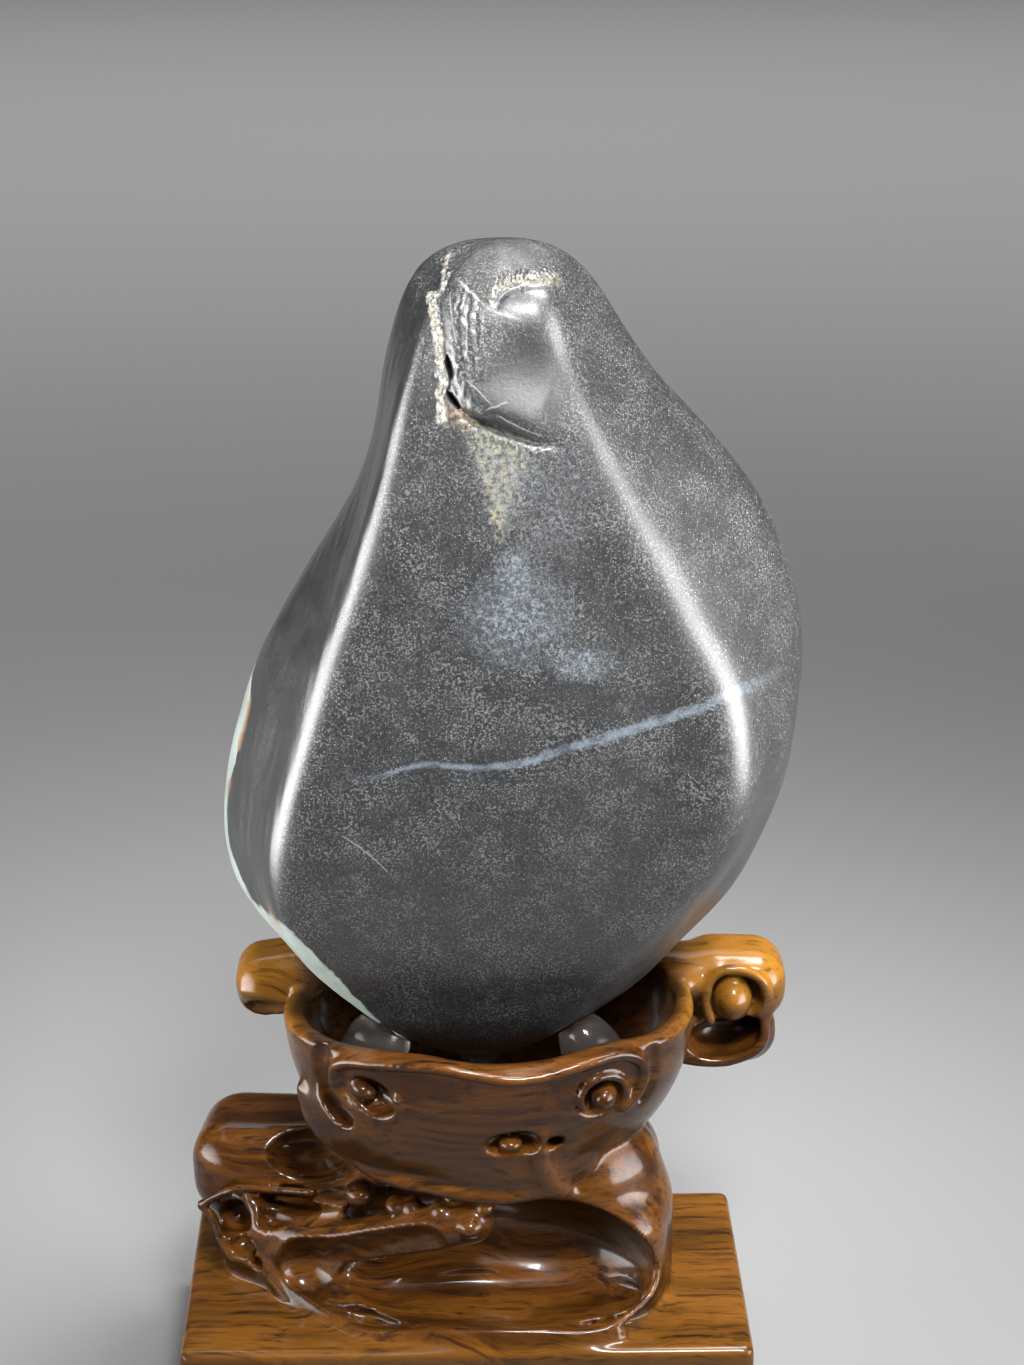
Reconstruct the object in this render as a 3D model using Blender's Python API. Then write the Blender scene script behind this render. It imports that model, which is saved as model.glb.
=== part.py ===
"""A water-worn black scholar's rock resting on clear pads in the bowl of its carved hardwood stand.

Metres, +Z up. The front of the stone faces -Y. The origin is the middle of the stand's underside."""

import math

import bmesh
import bpy
import numpy as np
from mathutils import Matrix, Vector

MM = 0.001

# The carved stand, one block of wood; its shapes are given in millimetres
PLINTH_HALF = (53, 29.5)
PLINTH_TOP = 20
PLINTH_ROUND = 1.6
BOWL_CENTRE = Vector((4.5, -1, 76))
BOWL_OUTER = Vector((38.0, 26.5, 35))
HOLLOW = ((4.5, -1, 80), (34.6, 23.0, 25))  # the bowl's inside: centre and radii
RIM_HEIGHT = 76.5
RIM_THICKNESS = 1.8
RIM_WAVE = ((0, 77.4), (90, 77.0), (180, 75.4), (213, 75.3), (249, 76.8), (274, 74.7), (306, 77.2),
            (325, 75.9), (345, 76.6))  # the rim's height at these turns, in degrees from the right
# The raised edge of the carved front, from the left end of the hull around the scoop's mouth
HULL_EDGE = [(-38.5, -6, 29.5), (-36.7, -8.5, 26.3), (-34.3, -10.5, 24), (-30.5, -13.5, 22.2),
             (-25.7, -17.5, 21.1), (-19.5, -23, 20.6), (-11.5, -25.5, 21.5), (2.3, -27, 22.8),
             (16.2, -27, 22.4), (21.5, -26.8, 22.0), (27.3, -25.3, 22.9), (33.4, -21.5, 26),
             (35.6, -18.3, 29.5), (34.6, -17, 34.2), (30.0, -17, 40.2), (24.0, -17.5, 44.4), (16.5, -19.5, 48.0)]
HULL_EDGE_RADIUS = 0.9
LOW_EDGE_COUNT = 11  # this many of those points lie low along the plinth
# The apron's edge, which hangs over the scoop and the hollows on the left
APRON_EDGE = [(16.5, -19.5, 48.0), (10.5, -20.6, 47.4), (5.2, -21, 46.9), (-0.5, -20.8, 47.6),
              (-6.7, -20, 48.8), (-12.6, -19, 49.6), (-17.7, -17, 50.9), (-21, -15.5, 53),
              (-25, -13.5, 55.8), (-27.7, -11.8, 59.4), (-30.0, -11, 65.0)]
CREST = [(12.8, -24.4, 61.0), (13.2, -22.6, 55.5), (15.0, -20.8, 50.8), (17.5, -19.4, 47.8)]
# The tongue over the scoop: its middle line, and the line of the hollow along its face
TONGUE = [(0.9, -18, 41.0), (-6, -18, 39.6), (-13, -16.2, 37.4), (-20, -13.6, 34.6), (-27, -10.5, 31.5)]
TONGUE_RADIUS = 4.3
TONGUE_FACE = [(-9, -26, 37.6), (-17, -22.9, 34.3), (-24, -19.8, 31), (-30.5, -15.2, 28.2)]
TONGUE_FACE_RADIUS = 6.6
VALLEY = [(-37, -5.0, 34.5), (-30, -8.3, 36.6), (-22, -11.8, 39.6), (-13, -15.8, 43.6)]
VALLEY_RADIUS = 2.6
# Thin ridges between the small hollows at the left
ROOM_RIDGES = (((-50.5, 0.5, 34.3), (-46.5, -1.2, 37.6), (-42.4, -2.0, 39.3), (-36.2, -3.0, 39.4),
                (-29, -5.8, 40.3)),
               ((-50.5, 0.5, 34.3), (-48.0, -0.8, 31.4), (-46.8, -2.2, 28.0), (-44.6, -3.6, 24.6)),
               ((-41.5, -2.5, 37.5), (-40.1, -3.4, 35.3), (-38.5, -4.8, 33.1), (-35.3, -6.8, 31.5)))
ROOM_RIDGE_RADIUS = 0.9
# Small bumps around the tongue: centre and size
BUMPS = (((-19.8, -10.2, 42.7), 3.0), ((-12.0, -15.0, 42.7), 2.4), ((-4.8, -18.4, 43.8), 1.8),
         ((-2.2, -16.4, 46.0), 2.0), ((3.4, -18.8, 44.5), 2.0), ((0.6, -20.4, 41.6), 2.8))
# The scrolled lip and the volutes, as (X, Z) on the bowl's face
LIP = ((-23.6, 70.5), (-23.8, 73.2), (-21.5, 75.3), (-17, 76.2), (-11, 77.0), (-5, 77.2), (1, 76.2), (8, 74.9),
       (14, 75.2), (21, 76.6), (27.2, 77.2), (31.0, 75.4), (32.4, 72), (31.3, 68.2), (28.6, 65.4))
LIP_RADIUS = 1.1
LEFT_VOLUTE_EDGE = ((-24.2, 70.5), (-22.6, 67.6), (-19.2, 65.2), (-15, 64.6), (-12.2, 66.4), (-12.3, 69.6))
LEFT_GROOVE = ((-26.3, 75.6), (-27.1, 72), (-26.2, 68.6), (-23.8, 64.8), (-21.4, 63.2))
RIGHT_GROOVE = ((34.2, 75.2), (34.6, 71.5), (34.0, 67.6), (32.6, 65.2))
# The right handle's curl and the ribbon under it
CURL = [(46.6, 5.6, 69.8), (45.6, 5.4, 72.7), (45.6, 5.2, 75.6), (46.3, 5.2, 78.4), (48.4, 5.2, 80.4),
        (51.2, 5.2, 80.6), (54.0, 5.2, 79.8), (56.2, 5.2, 78.0), (57.0, 5.6, 75.2)]
RIBBON = [(41.5, 8, 60.6), (45.5, 7.4, 60.2), (49.6, 7.2, 60.3), (53.2, 7.2, 61.4), (55.9, 7.2, 63.2),
          (57.0, 7.4, 65.8), (57.0, 7.6, 68.4), (57.6, 8, 70.6)]
LEFT_CURL = [(-41.6, 8.8, 75.4), (-38.6, 7.6, 75.3), (-35.2, 7.2, 74.6), (-31.5, 7.2, 73.6)]
CURL_RADIUS = 1.0
CARVING_LOW = (-60, -36, -6)
CARVING_HIGH = (68, 36, 90)
CARVING_GRID = 0.75
STAND_FACES = 5800

# The stone's leading lines, as (X, Y, Z) in millimetres from the foot to the head
LEFT_EDGE = [(-14.5, 1, 70), (-23.7, 1, 78), (-32.4, 1, 88), (-40.9, 1, 100), (-43.9, 1, 112), (-42.7, 1, 125),
             (-38.7, 1, 140), (-31.9, 1, 155), (-22.6, 1, 170), (-16.2, 1, 184), (-13.8, 1, 196),
             (-11.8, 1, 206), (-8.2, 1, 214), (-2.5, 1, 219)]
RIGHT_EDGE = [(20, 2, 70), (31, 2, 78), (41, 2, 88), (50.5, 2, 100), (56.2, 2, 112), (60, 2, 125),
              (61.4, 2, 140), (60.6, 2, 155), (55.2, 2, 170), (45, 2, 184), (34.2, 2, 196),
              (27.8, 2, 206), (22.7, 2, 214), (16.3, 2, 219)]
LEFT_RIDGE = [(-8, -6, 70), (-16, -11, 78), (-24, -17, 88), (-31, -22, 100), (-33.5, -24.5, 112),
              (-31.2, -25.5, 125), (-27.2, -25.5, 140), (-22.3, -24.5, 155), (-17.8, -23, 170),
              (-13.8, -21, 184), (-10.8, -18.5, 196), (-7.5, -15.5, 206), (-4, -11, 214), (1, -5, 219)]
RIGHT_RIDGE = [(12, -6, 70), (19, -11, 78), (27, -16, 88), (35, -20.5, 100), (43, -23.5, 112),
               (48.4, -25, 125), (48.3, -25.5, 140), (42.7, -24.8, 155), (34.3, -23.5, 170),
               (27.2, -21.5, 184), (21, -18.5, 196), (17, -15, 206), (14, -11, 214), (10, -5, 219)]
# How far back the stone reaches at each of the same levels
BACK_DEPTH = [8, 15, 21, 26.5, 29.5, 31, 30.5, 28.5, 25.5, 22, 19.5, 16.5, 11.5, 6]
STONE_FOOT = (3, 0, 64.5)
STONE_TOP = (6.5, 0, 221.5)
RIDGE_REACHES = (10.5, 13.0)  # how far each side of the left and right ridge its rounding spreads
FRONT_SWELL = 2.0  # how far the face stands out between its ridges
# The head's boss, bounded by a cleft that runs down its left and under it, drawn as (X, Z) in millimetres
CLEFT = [(2.5, 221), (-2.6, 217), (-4.0, 214.2), (-3.8, 206.8), (-2.8, 202.5), (-1.6, 200), (0.6, 197.5),
         (2.9, 195.6), (6.4, 192.8), (9.8, 191.2), (13.1, 190.2), (18, 189.6)]
CLEFT_DEPTH = 1.9
CLEFT_WIDTH = 1.0
BOSS_HEIGHT = 1.9
BOSS_SPREAD = 9
NOSE = (12.2, 211.5)
NOSE_HEIGHT = 1.6
NOSE_SPREAD = 7.5
BROW = [(4.3, 212), (6.4, 215.6), (10.6, 216.8), (14.7, 215.8), (18, 213.6)]
BROW_DEPTH = 0.5
BROW_WIDTH = 1.1
BACK_TURNS = (25, 52, 90, 128, 155)  # the cage's points round the back of each level, in degrees
BACK_SQUARENESS = 0.8
STONE_FACES = 2950

# The clear pads between the stone and the bowl
PAD_GAP = 0.35 * MM
PADS = [("pad_left", (-17, -4, 69), (6.3, 6.2, 9), (0, 25, 0)),
        ("pad_right", (24, -4, 68), (5.6, 5.8, 9), (0, -30, 0)),
        ("pad_back", (3, 11, 67), (6, 6, 9), (0, 0, 0))]


def clear_scene():
    for thing in list(bpy.data.objects):
        bpy.data.objects.remove(thing)


def material(name, colour, roughness, metallic=0.0, transmission=0.0):
    paint = bpy.data.materials.new(name)
    paint.use_nodes = True
    shader = paint.node_tree.nodes["Principled BSDF"]
    shader.inputs["Base Color"].default_value = (*colour, 1)
    shader.inputs["Roughness"].default_value = roughness
    shader.inputs["Metallic"].default_value = metallic
    shader.inputs["Transmission Weight"].default_value = transmission
    return paint


def new_object(name, mesh, paint=None):
    thing = bpy.data.objects.new(name, mesh)
    bpy.context.scene.collection.objects.link(thing)
    if paint:
        mesh.materials.append(paint)
    return thing


class Field:
    """A distance through space, in metres, negative inside the wood: one socket of a Geometry Nodes tree."""

    def __init__(self, tree, socket):
        self.tree = tree
        self.socket = socket

    def node(self, kind, inputs, operation=None, output=0):
        step = self.tree.nodes.new(kind)
        if operation:
            step.operation = operation
        for place, value in inputs.items():
            source = value.socket if isinstance(value, Field) else value
            if isinstance(source, bpy.types.NodeSocket):
                self.tree.links.new(source, step.inputs[place])
            else:
                step.inputs[place].default_value = source
        return Field(self.tree, step.outputs[output])

    def maths(self, operation, *values):
        return self.node("ShaderNodeMath", dict(enumerate(values)), operation)

    def vector(self, operation, *values, output=0):
        return self.node("ShaderNodeVectorMath", dict(enumerate(values)), operation, output)

    def __add__(self, other):
        return self.maths("ADD", self, other)

    def __sub__(self, other):
        return self.maths("SUBTRACT", self, other)

    def __mul__(self, other):
        return self.maths("MULTIPLY", self, other)

    def __truediv__(self, other):
        return self.maths("DIVIDE", self, other)

    def __neg__(self):
        return self.maths("MULTIPLY", self, -1.0)

    def join(self, other, blend):
        """The two shapes together, with a fillet of about this many millimetres where they meet."""
        return self.maths("SMOOTH_MIN", self, other, blend * MM)

    def cut(self, other, blend):
        """This shape with the other taken out of it, its edge rounded by about this many millimetres."""
        return self.maths("SMOOTH_MAX", self, -other, blend * MM)

    def keep(self, other, blend):
        """Only what both shapes hold."""
        return self.maths("SMOOTH_MAX", self, other, blend * MM)


class Carving:
    """Shapes given in millimetres for a block that is carved as one distance field."""

    def __init__(self, name):
        self.tree = bpy.data.node_groups.new(name, "GeometryNodeTree")
        self.tree.interface.new_socket("Geometry", in_out="OUTPUT", socket_type="NodeSocketGeometry")
        place = self.tree.nodes.new("GeometryNodeInputPosition")
        self.place = Field(self.tree, place.outputs[0])

    def local(self, centre, turn):
        """The place measured from a centre and in turned axes, in metres."""
        moved = self.place.vector("SUBTRACT", self.place, Vector(centre) * MM)
        if not any(turn):
            return moved
        angles = [math.radians(angle) for angle in turn]
        step = self.tree.nodes.new("ShaderNodeVectorRotate")
        step.rotation_type = "EULER_XYZ"
        step.invert = True
        self.tree.links.new(moved.socket, step.inputs["Vector"])
        step.inputs["Rotation"].default_value = angles
        return Field(self.tree, step.outputs[0])

    def lobe(self, centre, radii, turn=(0, 0, 0)):
        """An ellipsoid."""
        spot = self.local(centre, turn)
        size = Vector(radii) * MM
        near = spot.vector("LENGTH", spot.vector("DIVIDE", spot, size), output="Value")
        square = Vector([side * side for side in size])
        slope = spot.vector("LENGTH", spot.vector("DIVIDE", spot, square), output="Value")
        return near * (near - 1.0) / slope.maths("MAXIMUM", slope, 1.0)

    def block(self, centre, half, corner, turn=(0, 0, 0)):
        """A box with rounded edges."""
        spot = self.local(centre, turn)
        core = Vector([side - corner for side in half]) * MM
        past = spot.vector("SUBTRACT", spot.vector("ABSOLUTE", spot), core)
        outside = past.vector("LENGTH", past.vector("MAXIMUM", past, (0, 0, 0)), output="Value")
        parts = self.tree.nodes.new("ShaderNodeSeparateXYZ")
        self.tree.links.new(past.socket, parts.inputs[0])
        along = [Field(self.tree, out) for out in parts.outputs]
        deepest = past.maths("MAXIMUM", past.maths("MAXIMUM", along[0], along[1]), along[2])
        return outside + past.maths("MINIMUM", deepest, 0.0) - corner * MM

    def below(self, height):
        """Everything under a level."""
        parts = self.tree.nodes.new("ShaderNodeSeparateXYZ")
        self.tree.links.new(self.place.socket, parts.inputs[0])
        return Field(self.tree, parts.outputs["Z"]) - height * MM

    def cord(self, points, radius, closed=False):
        """A round bar along a smooth curve through the points."""
        guide = smooth_path(points, closed)
        info = self.tree.nodes.new("GeometryNodeObjectInfo")
        info.inputs["Object"].default_value = guide
        near = self.tree.nodes.new("GeometryNodeProximity")
        near.target_element = "EDGES"
        self.tree.links.new(info.outputs["Geometry"], near.inputs[0])
        return Field(self.tree, near.outputs["Distance"]) - radius * MM

    def mesh(self, shape, low, high, grid):
        """Sets the surface where the field is zero as the tree's result."""
        cube = self.tree.nodes.new("GeometryNodeVolumeCube")
        self.tree.links.new((-shape).socket, cube.inputs["Density"])
        cube.inputs["Background"].default_value = -1.0
        low = Vector(low) * MM
        high = Vector(high) * MM
        cube.inputs["Min"].default_value = low
        cube.inputs["Max"].default_value = high
        for axis, name in enumerate("XYZ"):
            cube.inputs["Resolution " + name].default_value = round((high[axis] - low[axis]) / (grid * MM))
        skin = self.tree.nodes.new("GeometryNodeVolumeToMesh")
        skin.inputs["Threshold"].default_value = 0.0
        self.tree.links.new(cube.outputs[0], skin.inputs["Volume"])
        result = self.tree.nodes.new("NodeGroupOutput")
        self.tree.links.new(skin.outputs[0], result.inputs[0])


def smooth_path(points, closed=False, steps=8):
    """A hidden guide: a Catmull-Rom curve through the points, in millimetres."""
    count = len(points)
    ends = count if closed else count - 1
    spots = []
    for first in range(ends):
        around = []
        for offset in (-1, 0, 1, 2):
            index = first + offset
            index = index % count if closed else min(max(index, 0), count - 1)
            around.append(Vector(points[index]))
        before, start, end, after = around
        for step in range(steps):
            part = step / steps
            spots.append(0.5 * (2 * start + (end - before) * part
                                + (2 * before - 5 * start + 4 * end - after) * part ** 2
                                + (3 * start - before - 3 * end + after) * part ** 3))
    if not closed:
        spots.append(Vector(points[-1]))
    edges = [(i, i + 1) for i in range(len(spots) - 1)]
    if closed:
        edges.append((len(spots) - 1, 0))
    mesh = bpy.data.meshes.new("guide")
    mesh.from_pydata([spot * MM for spot in spots], edges, [])
    guide = new_object("guide", mesh)
    guide.hide_render = True
    guide.display_type = "WIRE"
    return guide


def bowl_face(x, z, out=0.0):
    """A point on the front of the bowl's outer face, moved outward if asked."""
    across = (x - BOWL_CENTRE.x) / BOWL_OUTER.x
    up = (z - BOWL_CENTRE.z) / BOWL_OUTER.z
    depth = math.sqrt(1 - across ** 2 - up ** 2)
    return Vector((x, BOWL_CENTRE.y - BOWL_OUTER.y * depth - out, z))


def on_bowl(line, out):
    return [bowl_face(x, z, out) for x, z in line]


def rim_points(count=36):
    """The bowl's wavy rim."""
    points = []
    for number in range(count):
        turn = 2 * math.pi * number / count
        height = np.interp(math.degrees(turn), *zip(*RIM_WAVE), period=360)
        points.append((BOWL_CENTRE.x + (BOWL_OUTER.x - RIM_THICKNESS) * math.cos(turn),
                       BOWL_CENTRE.y + (BOWL_OUTER.y - RIM_THICKNESS) * math.sin(turn), height))
    return points


def carve_mound(wood):
    """The plinth and the rock-like mound that grows out of it."""
    mound = wood.lobe((3, 5, 30), (33, 21, 20))
    mound = mound.join(wood.block((18, 3, 31), (20.5, 19, 17), 10, (0, 0, 4)), 4)
    mound = mound.join(wood.block((17.5, -7, 31), (20.0, 15, 14), 10), 4)
    mound = mound.join(wood.lobe((20.5, -5, 44), (16.5, 14, 15)), 4)
    mound = mound.join(wood.lobe((5, -10, 31), (31, 18.5, 15.5), (14, 0, 0)), 5)
    mound = mound.join(wood.block((-32, 11, 39), (20, 12.5, 10), 8, (0, -2, -8)), 3)
    hull = wood.block((-27, 0, 28), (20, 13.0, 11), 9, (0, 0, -33))
    mound = mound.join(hull, 3)
    skirt = wood.cord([(x, y + 1.0, z - 1.9) for x, y, z in HULL_EDGE[:LOW_EDGE_COUNT]], 2.3)
    height = PLINTH_TOP + 2
    plinth = wood.block((0, 0, PLINTH_TOP - height / 2), (*PLINTH_HALF, height / 2), PLINTH_ROUND)
    return plinth.join(mound, 4).join(skirt, 2.5)


def carve_scoop(wood, body):
    """The long scoop low on the front, with its dished floor."""
    mouth = wood.block((-4, -25, 34.8), (23.5, 19.0, 11.8), 11)
    right = wood.lobe((12, -22, 33.5), (23.5, 17, 13.5), (0, 8, 0)).keep(-wood.below(22.8), 1.0)
    body = body.cut(mouth.join(right, 2.0), 0.6)
    body = body.cut(wood.lobe((6, -17.5, 24.7), (27, 8.4, 3.9)), 1.0)
    return body.cut(wood.lobe((-26, -18, 29.5), (12, 8, 7.0), (0, 0, -33)), 1.0)


def carve_tongue(wood, body):
    """The tongue that curls over the scoop from the left."""
    tongue = wood.cord(TONGUE, TONGUE_RADIUS)
    tongue = tongue.join(wood.lobe((-29.5, -6.5, 30), (9, 7.5, 8), (0, -20, -33)), 3)
    body = body.join(tongue, 1.2)
    return body.cut(wood.cord(TONGUE_FACE, TONGUE_FACE_RADIUS), 0.5)


def carve_rooms(wood, body):
    """The valley over the tongue, the hollow under the bowl and the small rooms at the far left."""
    body = body.cut(wood.cord(VALLEY, VALLEY_RADIUS), 0.6)
    body = body.cut(wood.lobe((-33, -3.2, 37.0), (6.5, 6.5, 2.4), (0, 0, -20)), 0.5)
    body = body.cut(wood.lobe((-29.5, -4.5, 45.7), (10, 9.5, 5.6), (0, 4, -12)), 0.6)
    body = body.cut(wood.lobe((-44.0, -2.2, 32.6), (4.4, 6.0, 3.5), (0, -18, -30)), 0.5)
    body = body.cut(wood.lobe((-42.6, -5.2, 28.4), (3.4, 4.2, 2.3), (0, -15, -30)), 0.5)
    body = body.cut(wood.lobe((-39.6, -6, 26.2), (2.3, 4, 1.4), (0, 15, -30)), 0.4)
    for line in ROOM_RIDGES:
        body = body.join(wood.cord(line, ROOM_RIDGE_RADIUS), 1.5)
    return body


def carve_front(wood, body):
    body = carve_rooms(wood, carve_tongue(wood, carve_scoop(wood, body)))
    body = body.join(wood.cord(HULL_EDGE, HULL_EDGE_RADIUS), 1.0)
    for place, size in BUMPS:
        body = body.join(wood.lobe(place, (size, size + 0.6, size * 0.8)), 1.0)
    return body


def carve_bowl(wood, body):
    """The cup with its rolled rim, the pointed apron on its front and the crest down to the scoop."""
    cup = wood.lobe(BOWL_CENTRE, BOWL_OUTER).keep(wood.below(RIM_HEIGHT), 1.0)
    cup = cup.join(wood.lobe((0, -15.5, 61), (24, 8.5, 16.5), (16, 0, 0)), 3)
    cup = cup.join(wood.lobe((-4, -9.5, 62), (26.5, 13, 15.0), (8, 0, 0)), 3)
    cup = cup.join(wood.lobe((7, -14, 53.5), (18, 8.5, 8), (16, 4, 0)), 3)
    cup = cup.join(wood.cord(APRON_EDGE, 1.0), 3.5)
    body = body.join(cup, 0.7)
    body = body.join(wood.cord(CREST, 1.2), 4.0)
    return body.join(wood.cord(rim_points(), RIM_THICKNESS, True), 1.5)


def carve_scrolls(wood, body):
    """The rolled lip along the apron's top, the volutes where it turns down and two small holes."""
    body = body.join(wood.cord(on_bowl(LIP, 0.6), LIP_RADIUS), 0.9)
    body = body.cut(wood.lobe(bowl_face(24.9, 69.0, 1.8), (5.4, 5.0, 5.2)), 0.5)
    body = body.join(wood.lobe(bowl_face(24.9, 68.6, -1.2), (3.4, 4.2, 3.4)), 0.5)
    body = body.cut(wood.lobe(bowl_face(-17.2, 69.2, 1.6), (5.4, 5.0, 3.3), (0, 28, 0)), 0.5)
    body = body.join(wood.lobe(bowl_face(-18.4, 69.6, -1.6), (2.7, 2.8, 1.8), (0, 28, 0)), 0.5)
    body = body.join(wood.cord(on_bowl(LEFT_VOLUTE_EDGE, 0.4), 0.9), 0.8)
    body = body.cut(wood.cord(on_bowl(LEFT_GROOVE, 0.9), 1.9), 0.5)
    body = body.cut(wood.cord(on_bowl(RIGHT_GROOVE, 0.9), 1.7), 0.5)
    body = body.cut(wood.lobe((8.4, -25.4, 60.2), (5.4, 4.4, 2.9), (0, -8, 0)), 0.6)
    return body.cut(wood.lobe((15.8, -22, 59.8), (1.9, 4.5, 1.4)), 0.5)


def carve_handles(wood, body):
    """The curled cloud heads that spring from the rim at the left and the right."""
    right = wood.block((51.2, 14, 74.9), (10.0, 8.8, 7.3), 6.4, (0, 2, 0))
    right = right.join(wood.block((48.8, 14, 64.8), (10.8, 7.5, 6.3), 5.6, (0, -3, 0)), 1.2)
    right = right.join(wood.lobe((41, 12, 77.5), (9, 8, 4.8)), 3)
    body = body.join(right, 2.0)
    body = body.cut(wood.lobe((50.8, 5.2, 74.6), (5.6, 5.2, 5.6)), 0.6)
    body = body.join(wood.lobe((50.7, 8.2, 73.6), (3.9, 5.0, 4.6)), 0.5)
    body = body.cut(wood.lobe((49.6, 6.5, 65.2), (7.6, 7.5, 4.3), (0, -6, 0)), 0.6)
    body = body.cut(wood.lobe((53.9, 9, 67.4), (2.9, 9, 2.5)), 0.5)
    body = body.join(wood.cord(CURL, CURL_RADIUS), 1.2)
    body = body.join(wood.cord(RIBBON, CURL_RADIUS), 1.2)
    left = wood.block((-34.6, 15, 75.6), (8.8, 8.2, 6.2), 5.4, (0, -8, 0))
    left = left.cut(wood.lobe((-38.0, 5.5, 70.8), (6.5, 5.5, 3.6)), 0.8)
    left = left.join(wood.cord(LEFT_CURL, CURL_RADIUS), 1.2)
    return body.join(left, 2.0)


def carve_back(wood, body):
    """Plainer hollows on the sides that face away."""
    body = body.cut(wood.lobe((-20, 27, 37), (17, 10, 8), (0, 8, 0)), 0.8)
    body = body.cut(wood.lobe((19, 25, 35), (15, 9, 9), (0, -10, 0)), 0.8)
    body = body.cut(wood.lobe((40, 6, 34), (6, 10, 8)), 0.8)
    return body.cut(wood.lobe((-50, 25, 37), (11, 7, 6), (0, 0, 20)), 0.8)


def carve_stand(grid):
    wood = Carving("stand carving")
    body = carve_front(wood, carve_mound(wood))
    body = carve_back(wood, body)
    body = carve_bowl(wood, body)
    body = carve_handles(wood, body)
    body = body.cut(wood.lobe(*HOLLOW), 1.0)
    body = carve_scrolls(wood, body)
    body = body.keep(-wood.below(0), 0.8)
    wood.mesh(body, CARVING_LOW, CARVING_HIGH, grid)
    return wood.tree


def make_stand(paint):
    mesh = bpy.data.meshes.new("stand")
    stand = new_object("stand", mesh, paint)
    carving = stand.modifiers.new("carving", "NODES")
    carving.node_group = carve_stand(CARVING_GRID)
    polish = stand.modifiers.new("polish", "SMOOTH")
    polish.factor = 0.5
    polish.iterations = 3
    thin_out(stand, STAND_FACES)
    return stand


def ring(left_edge, left_ridge, right_ridge, right_edge, back):
    """One level line of the stone, from the left edge round the front, the right and the back."""
    left_edge, left_ridge, right_ridge, right_edge = map(Vector, (left_edge, left_ridge, right_ridge, right_edge))
    left_reach, right_reach = RIDGE_REACHES

    def toward(start, end, reach):
        step = end - start
        return start + step * min(0.45, reach / step.length)

    middle = (left_ridge + right_ridge) / 2 - Vector((0, FRONT_SWELL, 0))
    points = [left_edge, toward(left_ridge, left_edge, left_reach), left_ridge,
              toward(left_ridge, middle, left_reach), middle, toward(right_ridge, middle, right_reach),
              right_ridge, toward(right_ridge, right_edge, right_reach), right_edge]
    centre = (left_edge + right_edge) / 2
    half = (right_edge.x - left_edge.x) / 2
    for turn in BACK_TURNS:
        angle = math.radians(turn)
        across = math.copysign(abs(math.cos(angle)) ** BACK_SQUARENESS, math.cos(angle))
        along = math.sin(angle) ** BACK_SQUARENESS
        points.append(Vector((centre.x + half * across, centre.y + (back - centre.y) * along, left_edge.z)))
    return points


def tightened(cage):
    """The cage moved outward by what its smooth surface would shrink."""
    inner = cage.copy()
    inner[1:-1] = (cage[:-2] + 4 * cage[1:-1] + cage[2:]) / 6
    inner = (np.roll(inner, 1, axis=1) + 4 * inner + np.roll(inner, -1, axis=1)) / 6
    return 2 * cage - inner


def stone_cage():
    rings = [ring(*rails) for rails in zip(LEFT_EDGE, LEFT_RIDGE, RIGHT_RIDGE, RIGHT_EDGE, BACK_DEPTH)]
    cage = tightened(np.array(rings))
    count = cage.shape[1]
    points = [Vector(STONE_FOOT)] + [Vector(point) for line in cage for point in line] + [Vector(STONE_TOP)]
    mesh = bpy.data.meshes.new("stone cage")
    faces = []
    for level in range(len(rings) - 1):
        for spot in range(count):
            low = 1 + level * count
            following = (spot + 1) % count
            faces.append((low + spot, low + following, low + count + following, low + count + spot))
    last = len(points) - 1
    for spot in range(count):
        following = (spot + 1) % count
        faces.append((0, 1 + following, 1 + spot))
        faces.append((last, last - count + spot, last - count + following))
    mesh.from_pydata([point * MM for point in points], [], faces)
    return mesh


def evaluated_copy(thing):
    graph = bpy.context.evaluated_depsgraph_get()
    return bpy.data.meshes.new_from_object(thing.evaluated_get(graph))


def near_path(points, path):
    """How far each point lies from a path drawn on the face, which side it is on and how far along it sits."""
    best = np.full(len(points), np.inf)
    side = np.zeros(len(points))
    along = np.zeros(len(points))
    path = np.array(path, float)
    for number, (start, end) in enumerate(zip(path[:-1], path[1:])):
        step = end - start
        part = np.clip(((points - start) @ step) / (step @ step), 0, 1)
        offset = points - start - part[:, None] * step
        gap = np.hypot(offset[:, 0], offset[:, 1])
        nearer = gap < best
        best[nearer] = gap[nearer]
        side[nearer] = np.sign(step[0] * offset[nearer, 1] - step[1] * offset[nearer, 0])
        along[nearer] = (number + part[nearer]) / (len(path) - 1)
    return best, side, along


def head_relief(points, normals):
    """How far the head's boss, brow and cleft move the surface, in millimetres, for points in millimetres."""
    flat = points[:, [0, 2]]
    front = np.clip(-normals[:, 1] * 2, 0, 1)
    gap, side, along = near_path(flat, CLEFT)
    fade = np.clip(along * 8, 0, 1) * np.clip((1 - along) * 8, 0, 1)
    boss = np.where(side > 0, np.exp(-gap / BOSS_SPREAD), -0.35 * np.exp(-(gap / 5) ** 2))
    lift = BOSS_HEIGHT * boss * fade
    lift -= CLEFT_DEPTH * np.exp(-(gap / CLEFT_WIDTH) ** 2) * fade
    nose = np.hypot(flat[:, 0] - NOSE[0], flat[:, 1] - NOSE[1])
    lift += NOSE_HEIGHT * np.exp(-(nose / NOSE_SPREAD) ** 2)
    gap, side, along = near_path(flat, BROW)
    lift -= BROW_DEPTH * np.exp(-(gap / BROW_WIDTH) ** 2)
    return lift * front


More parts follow.
